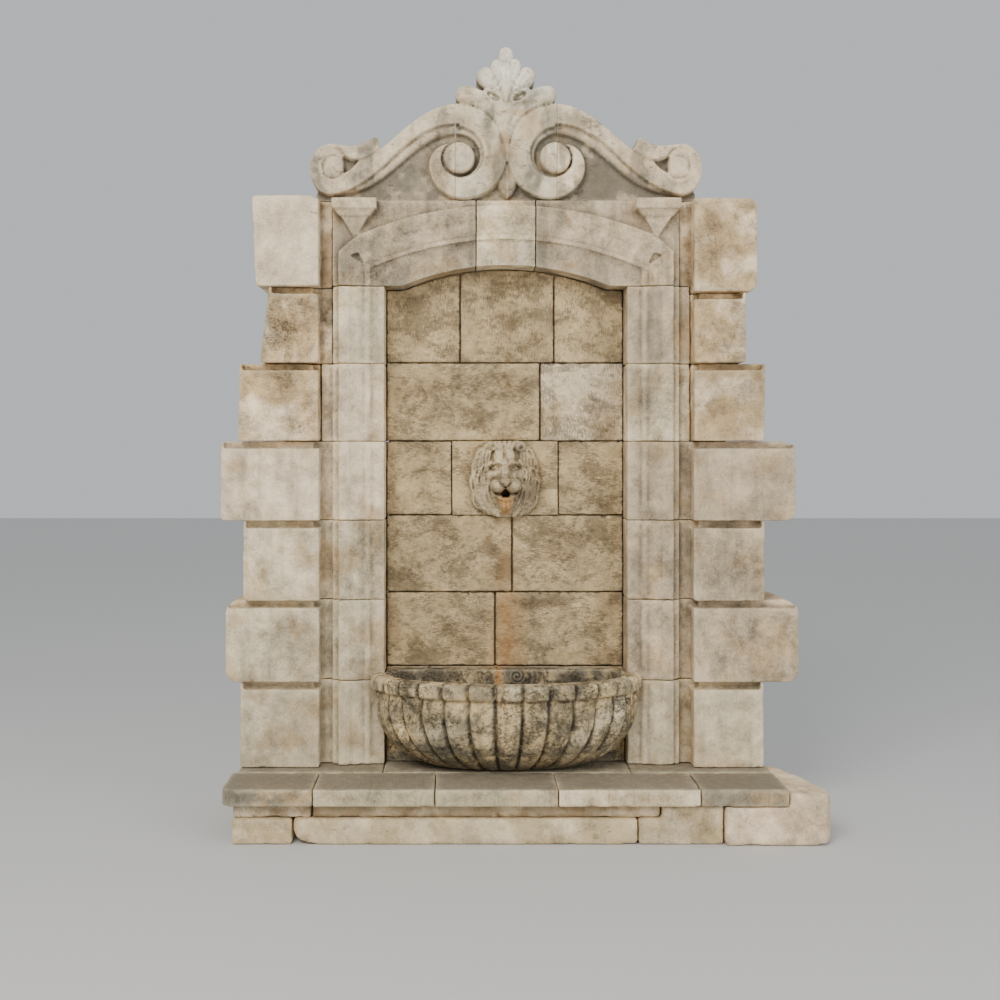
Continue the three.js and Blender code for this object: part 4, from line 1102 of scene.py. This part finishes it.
class StoneMaterial:
    """A stone material in the making: mottled, with painted shade in its hollows, a painted highlight on its arrises,
    and a bumpy skin.
    """

    def __init__(self, name, warm, dark, strength, darkness):
        self.material = bpy.data.materials.new(name)
        self.material.use_nodes = True
        self.material.node_tree.nodes.clear()
        self.nodes = nodes = Nodes(self.material.node_tree)
        self.place = nodes.placed("Quarry place")["Place"]
        blotchy = nodes.attribute("tint", "Alpha")
        mottled = nodes.placed("Mottled stone", {
            "Place": self.place, "Tint": nodes.attribute("tint", "Color"),
            "Warm": stone_colour(warm), "Dark": stone_colour(dark),
            "Strength": nodes.math("MULTIPLY", blotchy, strength),
            "Darkness": nodes.math("MULTIPLY", blotchy, darkness),
        })
        self.colour, self.blotch = mottled["Color"], mottled["Blotch"]
        # The soot attribute also carries the painted shade at the basin's foot and in its furrows
        self.stain(nodes.attribute("soot"), "soot")
        self.stain(nodes.attribute("rust"), "rust")

    def stain(self, mask, colour, strength=1.0):
        share = self.nodes.math("MULTIPLY", mask, strength, clamp=True)
        self.colour = self.nodes.mix(share, self.colour, stone_colour(colour))

    def noise(self, scale, detail, roughness, distortion=0.0, stretch=None):
        place = self.nodes.stretched(self.place, stretch) if stretch else self.place
        return self.nodes.noise(place, scale, detail, roughness, distortion)

    def flecks(self, size, cover, colour, strength):
        """Stains the stone with flecks, and gives their height."""
        flecked = self.nodes.placed("Flecks", {"Place": self.place, "Size": size, "Cover": cover})
        self.stain(flecked["Flecks"], colour, strength)
        return flecked["Height"]

    def finish(self, bumps, roughness, grime_and_shade, bloom_and_highlight):
        """Bumps are pairs of a height and the depth in metres that it stands for."""
        nodes = self.nodes
        # Painted shade with grime in the hollows, and a painted highlight with pale wear on the arrises
        weathered = nodes.placed("Shade, grime and edge light", {
            "Color": self.colour, "Place": self.place, "Grime colour": stone_colour("grime_and_shade"),
            "Bloom colour": stone_colour("bloom_and_highlight"), "Grime and shade": grime_and_shade, "Bloom and highlight": bloom_and_highlight,
        })
        skin = {
            "Specular IOR Level": 0.25, "Base Color": weathered["Color"],
            "Roughness": nodes.span(self.blotch, 0.35, 0.65, roughness - 0.05, roughness + 0.05),
        }
        below = {}
        for height, depth in bumps:
            inputs = {"Height": height, "Distance": depth, "Strength": 1.0, **below}
            below = {"Normal": nodes.add("ShaderNodeBump", inputs).outputs["Normal"]}
        shader = nodes.add("ShaderNodeBsdfPrincipled", {**skin, **below})
        nodes.add("ShaderNodeOutputMaterial", {"Surface": shader.outputs["BSDF"]})
        return self.material


def dressed_stone(stone):
    """Fine dressed limestone of the piers and the arch, streaked with soot."""
    specks = stone.flecks(80, 0.36, "brown", 0.5)
    streaks = stone.noise(1.6, 5, 0.62, stretch=(9, 9, 0.9))
    stone.stain(stone.nodes.span(streaks, 0.5, 0.72), "soot", 0.3)
    return [(stone.noise(26, 5, 0.6), 0.004), (specks, 0.0008)]


def quoin_stone(stone):
    """Tanner, rougher blocks at the ends of the piers and in the base."""
    specks = stone.flecks(48, 0.38, "brown", 0.6)
    return [(stone.noise(24, 6, 0.62), 0.006), (specks, 0.0015)]


def carved_stone(stone):
    """The pediment's fine stone, dark where water runs and lies."""
    specks = stone.flecks(60, 0.36, "brown", 0.4)
    crust = stone.flecks(26, 0.42, "soot", 0.6)
    return [(stone.noise(40, 5, 0.6), 0.007), (specks, 0.001), (crust, 0.001)]


def panel_stone(stone):
    """Rough ochre stone in fine strokes, with iron from the spout down its middle, wider as it goes."""
    nodes = stone.nodes
    strokes = nodes.placed("Tooling", {"Place": stone.place})
    stone.stain(strokes["Dark"], "peat", 0.62)
    stone.stain(strokes["Light"], "lichen", 0.6)
    place = nodes.add("ShaderNodeSeparateXYZ", {0: nodes.add("ShaderNodeTexCoord").outputs["Object"]}).outputs
    wander = nodes.strays(stone.noise(7, 5, 0.7), 0.09)
    offset = nodes.math("ABSOLUTE", nodes.math("ADD", nodes.math("ADD", place["X"], -0.004), wander))
    width = nodes.span(place["Z"], 1.25, 0.6, 0.03, 0.1)
    run = nodes.math("SUBTRACT", 1.0, nodes.math("DIVIDE", offset, width), clamp=True)
    below = nodes.span(place["Z"], 1.24, 0.7, 0.1, 0.65)
    front = nodes.span(place["Y"], 0.2, 0.16)
    patchy = nodes.span(stone.noise(22, 6, 0.7, stretch=(1, 1, 0.4)), 0.35, 0.6, 0.3, 1.0)
    for share in (below, front, patchy):
        run = nodes.math("MULTIPLY", run, share)
    stone.stain(run, "rust")
    return [(stone.noise(30, 6, 0.66), 0.01), (strokes["Height"], 0.006)]


def basin_stone(stone):
    """Wet-weathered stone: black growth, ochre and rubbed cream."""
    growth = stone.noise(13, 10, 0.84, 0.3, (1, 1, 0.6))
    stone.stain(stone.nodes.span(growth, 0.49, 0.56), "grime_and_shade", 0.74)
    lichen = stone.noise(19, 9, 0.8, 0.2, (1, 1, 0.7))
    stone.stain(stone.nodes.span(lichen, 0.53, 0.62), "lichen", 0.7)
    pits = stone.flecks(64, 0.5, "grime_and_shade", 0.8)
    fine = stone.flecks(170, 0.46, "bloom_and_highlight", 0.4)
    return [(stone.noise(34, 7, 0.7), 0.014), (pits, 0.004), (fine, 0.0012)]


def slab_stone(stone):
    """Slabs with grey tops and tooled pale fronts."""
    nodes = stone.nodes
    up = nodes.add("ShaderNodeSeparateXYZ", {0: nodes.add("ShaderNodeNewGeometry").outputs["Normal"]})
    stone.stain(nodes.span(up.outputs["Z"], 0.55, 0.9), "slab_top", 0.9)
    chisel = stone.noise(1.0, 4, 0.6, stretch=(95, 20, 7))
    stone.stain(nodes.span(chisel, 0.56, 0.7), "brown", 0.45)
    specks = stone.flecks(55, 0.36, "brown", 0.5)
    return [(chisel, 0.006), (specks, 0.0015)]


# The nodes of each material, its warm and its dark colour, the strength and the darkness of its mottling, how
# rough its skin is, and how much grime with painted shade and bloom with a painted highlight it shows
MATERIALS = {
    "Dressed stone": (dressed_stone, "tan", "brown", 1.3, 0.6, 0.88, 0.5, 0.25),
    "Quoin stone": (quoin_stone, "pale", "brown", 1.5, 1.0, 0.92, 0.5, 0.3),
    "Carved stone": (carved_stone, "tan", "soot", 1.1, 0.5, 0.9, 0.8, 0.4),
    "Panel stone": (panel_stone, "tan", "brown", 1.1, 0.45, 0.95, 0.8, 0.12),
    "Basin stone": (basin_stone, "bloom_and_highlight", "grime_and_shade", 1.7, 0.8, 0.93, 0.95, 0.3),
    "Slab stone": (slab_stone, "tan", "brown", 1.7, 0.7, 0.9, 0.6, 0.35),
}


def stone_material(name):
    """The material of this name, made when the first piece needs it."""
    material = bpy.data.materials.get(name)
    if material is None:
        fill, warm, dark, strength, darkness, roughness, grime_and_shade, bloom_and_highlight = MATERIALS[name]
        stone = StoneMaterial(name, warm, dark, strength, darkness)
        material = stone.finish(fill(stone), roughness, grime_and_shade, bloom_and_highlight)
    return material


def floor_material():
    material = bpy.data.materials.new("Pale floor")
    material.use_nodes = True
    shader = material.node_tree.nodes["Principled BSDF"]
    shader.inputs["Base Color"].default_value = (*bpy.context.scene.fountain_stage.floor_colour, 1)
    shader.inputs["Roughness"].default_value = 0.9
    return material


# Tints: the colour of each stone, and how blotchy it is

TINTS = {
    "left_pier_stone_1": ("cream", 0.8), "left_pier_stone_2": ("cream", 1.0), "left_pier_stone_3": ("cream", 1.1),
    "left_pier_stone_4": ("pale", 0.9), "right_pier_stone_1": ("cream", 0.9), "right_pier_stone_2": ("grey", 1.3),
    "right_pier_stone_3": ("grey", 1.2), "right_pier_stone_4": ("grey", 1.0), "left_jamb_5": ("pale", 0.9),
    "left_jamb_6": ("cream", 1.0), "right_jamb_5": ("cream", 1.2), "right_jamb_6": ("grey", 1.0),
    "left_quoin_5": ("tan", 1.3), "left_quoin_6": ("tan", 1.5), "left_quoin_7": ("pale", 0.7),
    "right_quoin_5": ("tan", 0.9), "right_quoin_6": ("tan", 1.2), "right_quoin_7": ("tan", 1.0),
    "arch_springer_left": ("grey", 1.4), "keystone": ("cream", 1.3), "arch_springer_right": ("grey", 1.3),
    "panel_5_right": ("pale", 0.9), "panel_foot": ("grey", 1.0), "basin": ("basin", 1.0),
    "plinth_slab_1": ("soot", 1.2), "plinth_slab_4": ("pale", 0.8), "plinth_slab_5": ("slab_top", 1.0),
    "levelling_slab_left": ("brown", 0.8),
    "levelling_slab_right": ("brown", 0.8), "base_end_block": ("end", 0.9), "mask_stone": ("ochre", 0.8),
    "pediment_left": ("pale", 1.0), "pediment_middle": ("carved", 0.9), "pediment_right": ("pale", 1.0),
    "mortar": ("brown", 1.0),
}


def tint_of(node):
    """A stone's colour and blotchiness, from its own entry or from the group that it belongs to."""
    groups = {"panel": ("ochre", 1.0), "base": ("base", 0.8), "back_slab": ("slab", 0.8), "plinth": ("slab", 0.9)}
    if node in TINTS:
        name, blotchy = TINTS[node]
    else:
        name, blotchy = next(entry for group, entry in groups.items() if node.startswith(group))
    return (*stone_colour(name)[:3], blotchy)


def tint_towards(tints, share, name):
    """Moves the tints towards a colour, each point by its own share."""
    share = share[:, None]
    tints[:, :3] = (1 - share) * tints[:, :3] + share * np.array(stone_colour(name)[:3])


def pediment_stains(node, points, cloud, tints):
    """Soot in the recesses and in runs below them, a bleached crown and rust by the stem."""
    across, depth, height = points.T
    above = height - WALL_TOP
    recess = smoothstep(0.012, 0.034, depth) * (1 - 0.6 * smoothstep(0.05, 0.09, depth))
    patchy = smoothstep(0.42, 0.58, noise(points, 0.045, 45, 5))
    soot = recess * (0.4 + 0.4 * smoothstep(0.4, 0.55, cloud) + 0.4 * patchy) * (0.85 + 0.25 * (across > 0))
    run = smoothstep(0.52, 0.68, noise(points, (0.06, 0.2, 0.14), 43, 4))
    soot = np.clip(soot + (0.45 * run + 0.3 * patchy * run) * (1 - recess), 0, 0.85)
    crown = smoothstep(0.38, 0.47, above)
    tint_towards(tints, 0.8 * crown, "crown")
    soot *= 1 - 0.85 * crown * (depth < 0.03)
    near_stem = smoothstep(0.3, 0.1, np.abs(across)) * (above < 0.36) * (depth < 0.06)
    return soot, 0.3 * smoothstep(0.52, 0.7, noise(points, 0.09, 47, 3)) * near_stem


def basin_shade_and_stains(node, points, cloud, tints):
    """Painted shade at the foot under the bowl and in the furrows, mixed there with patchy growth, soot inside, and
    rust where the water falls.
    """
    across, depth, height = points.T
    above = height - BASIN_BED
    # Painted shade in a band at the foot, under the bowl, and soot in clouds over the whole basin
    soot = 0.75 * smoothstep(0.06, 0.01, above) + 0.45 * smoothstep(0.45, 0.6, cloud)
    levels = np.linspace(0, BASIN_HEIGHT, 60)
    share = np.interp(above * 1000, levels, [bowl_share(level) for level in levels])
    angle = np.arctan2(across, -depth * BASIN_HALF / BASIN_DEPTH / share**0.7)
    furrow = (angle / GADROON_PITCH + GADROONS / 2) % 1
    patchy = smoothstep(0.3, 0.6, noise(points, 0.035, 61, 4))
    # Painted shade in the furrows between the lobes, broken up in patches like growth
    soot += 0.9 * smoothstep(0.15, 0.03, np.minimum(furrow, 1 - furrow)) * patchy
    inside = (depth > -0.235) & (height > 0.3) & (np.hypot(across / 0.49, depth / 0.25) < 0.96)
    soot = np.where(inside, 0.45 + 0.4 * smoothstep(0.4, 0.6, cloud), soot)
    run = np.exp(-(((across + 0.028 + 0.02 * (cloud - 0.5)) / 0.016) ** 2))
    rust = np.where(inside & (depth > 0.03), run * 0.95, 0.35 * run * (height > 0.5))
    return np.clip(soot - rust, 0, 0.9), rust


def slab_stains(node, points, cloud, tints):
    """A sooty top."""
    return 0.4 * smoothstep(0.2, 0.207, points[:, 2]), 0


def mask_stains_and_highlight(node, points, cloud, tints):
    """Rust on the tongue, a painted highlight in cream on the parts that stand farthest forward, and soot over one
    ear.
    """
    depth = points[:, 1]
    x, z = (points[:, (0, 2)] * 1000 - np.array([0, MASK_MIDDLE])).T
    tongue = np.exp(-(((x - 2) / (34 + 0.22 * (z + 76))) ** 6) - ((z + 106) / 40) ** 6)
    rust = 0.85 * tongue * smoothstep(MOUTH_Z - 10, MOUTH_Z - 15, z) * (depth < 0.14)
    # Painted highlight: the foremost parts of the head are turned towards cream
    tint_towards(tints, 0.6 * smoothstep(0.122, 0.106, depth), "cream")
    return 0.75 * np.exp(-(((x - 60) / 22) ** 2) - ((z - 110) / 26) ** 2), rust


def wall_stains(node, points, cloud, tints):
    """Runs of soot down the piers and the arch, and soot under the arch's mouldings."""
    across, depth, _ = points.T
    run = smoothstep(0.5, 0.66, noise(points, (0.07, 0.3, 0.28), 51, 4))
    level = 0.4 if node.startswith(("right", "arch")) else 0.12
    soot = level * run * smoothstep(0.75, 0.66, np.abs(across))
    return soot + 0.2 * ("arch" in node) * smoothstep(0.01, 0.02, depth), 0


STAINS = {
    "pediment": pediment_stains, "basin": basin_shade_and_stains, "plinth_slab_5": slab_stains, "mask_stone": mask_stains_and_highlight,
    **dict.fromkeys(("left_pier", "left_jamb", "right_pier", "right_jamb", "arch", "keystone"), wall_stains),
}


def paint(mesh, node):
    """Notes the stone's tint on the mesh, with the soot and rust that have settled on some stones, the painted shade
    at the basin's foot and in its furrows, and the mask's painted highlight.
    """
    points = positions(mesh)
    tints = np.tile(tint_of(node), (len(points), 1))
    none = np.zeros(len(points))
    soot, rust = 0, 0
    for group, stains in STAINS.items():
        if node.startswith(group):
            soot, rust = stains(node, points, noise(points, 0.11, 41, 4), tints)
    across, depth, height = points.T
    if "quoin" in node or "pier" in node:
        strip = (depth > 0.03) & (np.abs(across) > STRIP[0]) & (np.abs(across) < STRIP[1])
        tint_towards(tints, (0.95 if height.max() > 1.6 else 0.1) * strip, "brown")
    upright = node.startswith("panel_6") or node == "panel_5_right"
    for name, value in (("soot", soot), ("rust", rust), ("upright", float(upright))):
        note(mesh, name, "FLOAT", none + value)
    note(mesh, "tint", "FLOAT_COLOR", tints)


# Operators


class FOUNTAIN_OT_stage(bpy.types.Operator):
    """Sets the camera, the lamps and the floor"""

    bl_idname = "fountain.stage"
    bl_label = "Stage"

    def execute(self, context):
        stage = context.scene.fountain_stage
        camera = bpy.data.cameras.new("camera")
        camera.sensor_width = 36
        camera.lens = camera.sensor_width * stage.focal_share
        camera.shift_x = stage.shift_right
        camera.shift_y = stage.shift_up
        camera.clip_end = 200
        viewer = bpy.data.objects.new("camera", camera)
        viewer.location = stage.camera_place
        viewer.rotation_euler = (math.pi / 2, 0, 0)
        context.scene.collection.objects.link(viewer)
        context.scene.camera = viewer

        bpy.ops.mesh.primitive_plane_add(size=stage.floor_size, location=(0, 0, -0.0005))
        floor = context.active_object
        floor.name = "floor"
        floor.data.materials.append(floor_material())

        world = bpy.data.worlds.new("studio")
        world.use_nodes = True
        sky = world.node_tree.nodes["Background"]
        sky.inputs["Color"].default_value = (0.95, 0.97, 1.0, 1)
        sky.inputs["Strength"].default_value = stage.sky_strength
        context.scene.world = world

        self.lamp("key", (-2.2, -5.2, 5.2), (0, 0, 1.2), 3.2, stage.key_power, (1.0, 0.97, 0.92))
        self.lamp("fill", (4.2, -4.0, 2.4), (0, 0, 1.2), 3.0, stage.fill_power, (0.95, 0.97, 1.0))
        return {"FINISHED"}

    def lamp(self, name, place, target, size, power, colour):
        light = bpy.data.lights.new(name, "AREA")
        light.size = size
        light.energy = power
        light.color = colour
        lamp = bpy.data.objects.new(name, light)
        lamp.location = place
        lamp.rotation_euler = (Vector(target) - Vector(place)).to_track_quat("-Z", "Y").to_euler()
        bpy.context.scene.collection.objects.link(lamp)


class FOUNTAIN_OT_piers(bpy.types.Operator):
    """Dresses the blocks and jambs of both piers"""

    bl_idname = "fountain.piers"
    bl_label = "Piers"

    def execute(self, context):
        voxel = context.scene.fountain_wear.voxel
        sides = ("left", "right")
        blocks = [f"{side}_pier_stone_{course}" for side in sides for course in range(1, 5)]
        dress(blocks, 0, voxel, FACES["pier"], "Dressed stone", "piers", wear=0.5)
        jambs = [f"{side}_jamb_{course}" for side in sides for course in (5, 6)]
        dress(jambs, 20, voxel, FACES["jamb"], "Dressed stone", "piers", wear=0.5)
        quoins = [f"{side}_quoin_{course}" for side in sides for course in (5, 6, 7)]
        for seed, node in enumerate(quoins, 31):
            chips = 1.5 if node in ("left_quoin_5", "left_quoin_6") else 1.0
            dress([node], seed, voxel, FACES["quoin"], "Quoin stone", "quoins", chips=chips, depth=0.0026)
        return {"FINISHED"}


class FOUNTAIN_OT_panel(bpy.types.Operator):
    """Dresses the rough stones of the panel"""

    bl_idname = "fountain.panel"
    bl_label = "Panel"

    def execute(self, context):
        wear = context.scene.fountain_wear
        names = sorted(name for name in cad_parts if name.startswith("panel_"))
        dress(
            names, 50, wear.voxel, FACES["panel"], "Panel stone", "panel", chips=1.2, rough=wear.rough_depth,
            stretch=(1.4, 1, 0.7),
        )
        return {"FINISHED"}


class FOUNTAIN_OT_arch(bpy.types.Operator):
    """Dresses the springers and the keystone"""

    bl_idname = "fountain.arch"
    bl_label = "Arch"

    def execute(self, context):
        voxel = 0.8 * context.scene.fountain_wear.voxel
        names = ("arch_springer_left", "keystone", "arch_springer_right")
        dress(names, 70, voxel, FACES["arch"], "Dressed stone", "arch", wear=0.3, chips=0.5)
        return {"FINISHED"}


class FOUNTAIN_OT_mortar(bpy.types.Operator):
    """Fills the joints behind the faces with mortar"""

    bl_idname = "fountain.mortar"
    bl_label = "Mortar"

    def execute(self, context):
        cores = [
            ((-0.48, 0.17, 0.59), (0.48, 0.27, 2.2)),
            ((-0.7, 0.15, 2.15), (0.7, 0.27, 2.45)),
            ((-0.9, 0.1, 0.24), (-0.5, 0.27, 2.4)),
            ((0.5, 0.1, 0.24), (0.9, 0.27, 2.4)),
            ((-0.4, 0.09, 2.43), (0.4, 0.19, 2.74)),
        ]
        pieces = []
        for low, high in cores:
            size = [b - a for a, b in zip(low, high)]
            bpy.ops.mesh.primitive_cube_add(size=1, location=[(a + b) / 2 for a, b in zip(low, high)])
            core = context.active_object
            core.scale = size
            bpy.ops.object.transform_apply(location=True, rotation=True, scale=True)
            pieces.append(core)
        core = joined(pieces, "mortar")
        describe_surface(core, "mortar", 3)
        core.data.materials.append(stone_material("Dressed stone"))
        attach(core, BODY)
        return {"FINISHED"}


class FOUNTAIN_OT_plinth(bpy.types.Operator):
    """Dresses the slabs, the levelling course and the base stones"""

    bl_idname = "fountain.plinth"
    bl_label = "Plinth"

    def execute(self, context):
        wear = context.scene.fountain_wear
        slab = (wear.slab_voxel, FACES["slab"], "Slab stone", "plinth_slabs")
        base = (wear.base_voxel, FACES["base"], "Quoin stone", "base_stones")
        for seed, node in enumerate(sorted(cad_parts), 80):
            if node.startswith(("plinth_slab", "back_slab")):
                dress([node], seed, *slab, chips=1.3, depth=0.002)
            elif node.startswith(("levelling", "base")):
                dress([node], seed, *base, chips=1.5, depth=0.003)
        return {"FINISHED"}


class FOUNTAIN_OT_mask(bpy.types.Operator):
    """Carves the lion mask"""

    bl_idname = "fountain.mask"
    bl_label = "Mask"

    def execute(self, context):
        piece = mask_solid(context.scene.fountain_wear.mask_voxel)
        weather(piece, 95, wear=0.5, chips=0.1, depth=0.0012)
        thin_to(piece, FACES["mask"])
        describe_surface(piece, "mask_stone", 95)
        hand_over(piece, "Panel stone", "panel", "mask_stone")
        return {"FINISHED"}


class FOUNTAIN_OT_basin(bpy.types.Operator):
    """Carves the basin"""

    bl_idname = "fountain.basin"
    bl_label = "Basin"

    def execute(self, context):
        piece = basin_solid(context.scene.fountain_wear.basin_voxel)
        weather(piece, 96, wear=0.5, chips=0.6, depth=0.002)
        thin_to(piece, FACES["basin"])
        describe_surface(piece, "basin", 96)
        hand_over(piece, "Basin stone", "basin", "basin")
        return {"FINISHED"}


class FOUNTAIN_OT_pediment(bpy.types.Operator):
    """Carves the scrolls and leaves of the pediment"""

    bl_idname = "fountain.pediment"
    bl_label = "Pediment"

    def execute(self, context):
        whole = pediment_solid(context.scene.fountain_wear.pediment_voxel)
        weather(whole, 100, wear=0.7, chips=0.5, depth=0.0012)
        for index, node in enumerate(("pediment_left", "pediment_middle", "pediment_right")):
            piece = sawn(whole, node + "_carved", CUTS[index] + HALF_JOINT, CUTS[index + 1] - HALF_JOINT)
            thin_to(piece, FACES["pediment"])
            describe_surface(piece, node, 100 + index)
            hand_over(piece, "Carved stone", "pediment", node)
            select_only(piece)
            bpy.ops.object.shade_smooth_by_angle(angle=math.radians(50))
        bpy.data.objects.remove(whole)
        return {"FINISHED"}


class FOUNTAIN_PT_panel(bpy.types.Panel):
    """Lists the steps that dress the fountain"""

    bl_idname = "FOUNTAIN_PT_panel"
    bl_label = "Wall Fountain"
    bl_space_type = "VIEW_3D"
    bl_region_type = "UI"
    bl_category = "Fountain"

    def draw(self, context):
        for operator in OPERATORS:
            self.layout.operator(operator.bl_idname)
        for settings in ("fountain_stage", "fountain_colours", "fountain_wear"):
            group = getattr(context.scene, settings)
            column = self.layout.column()
            for name in group.__annotations__:
                column.prop(group, name)


OPERATORS = (
    FOUNTAIN_OT_stage,
    FOUNTAIN_OT_piers,
    FOUNTAIN_OT_panel,
    FOUNTAIN_OT_arch,
    FOUNTAIN_OT_mortar,
    FOUNTAIN_OT_plinth,
    FOUNTAIN_OT_mask,
    FOUNTAIN_OT_basin,
    FOUNTAIN_OT_pediment,
)
SETTINGS = {
    "fountain_stage": StageSettings,
    "fountain_colours": StoneColours,
    "fountain_wear": WearSettings,
}


def register():
    for kind in (*SETTINGS.values(), *OPERATORS, FOUNTAIN_PT_panel):
        bpy.utils.register_class(kind)
    for name, kind in SETTINGS.items():
        setattr(bpy.types.Scene, name, bpy.props.PointerProperty(type=kind))


def unregister():
    for name in SETTINGS:
        delattr(bpy.types.Scene, name)
    for kind in (FOUNTAIN_PT_panel, *reversed(OPERATORS), *SETTINGS.values()):
        bpy.utils.unregister_class(kind)


def main():
    register()
    bpy.ops.fountain.stage()
    bpy.ops.fountain.piers()
    bpy.ops.fountain.panel()
    bpy.ops.fountain.arch()
    bpy.ops.fountain.mortar()
    bpy.ops.fountain.plinth()
    bpy.ops.fountain.mask()
    bpy.ops.fountain.basin()
    bpy.ops.fountain.pediment()


if __name__ == "__main__":
    main()
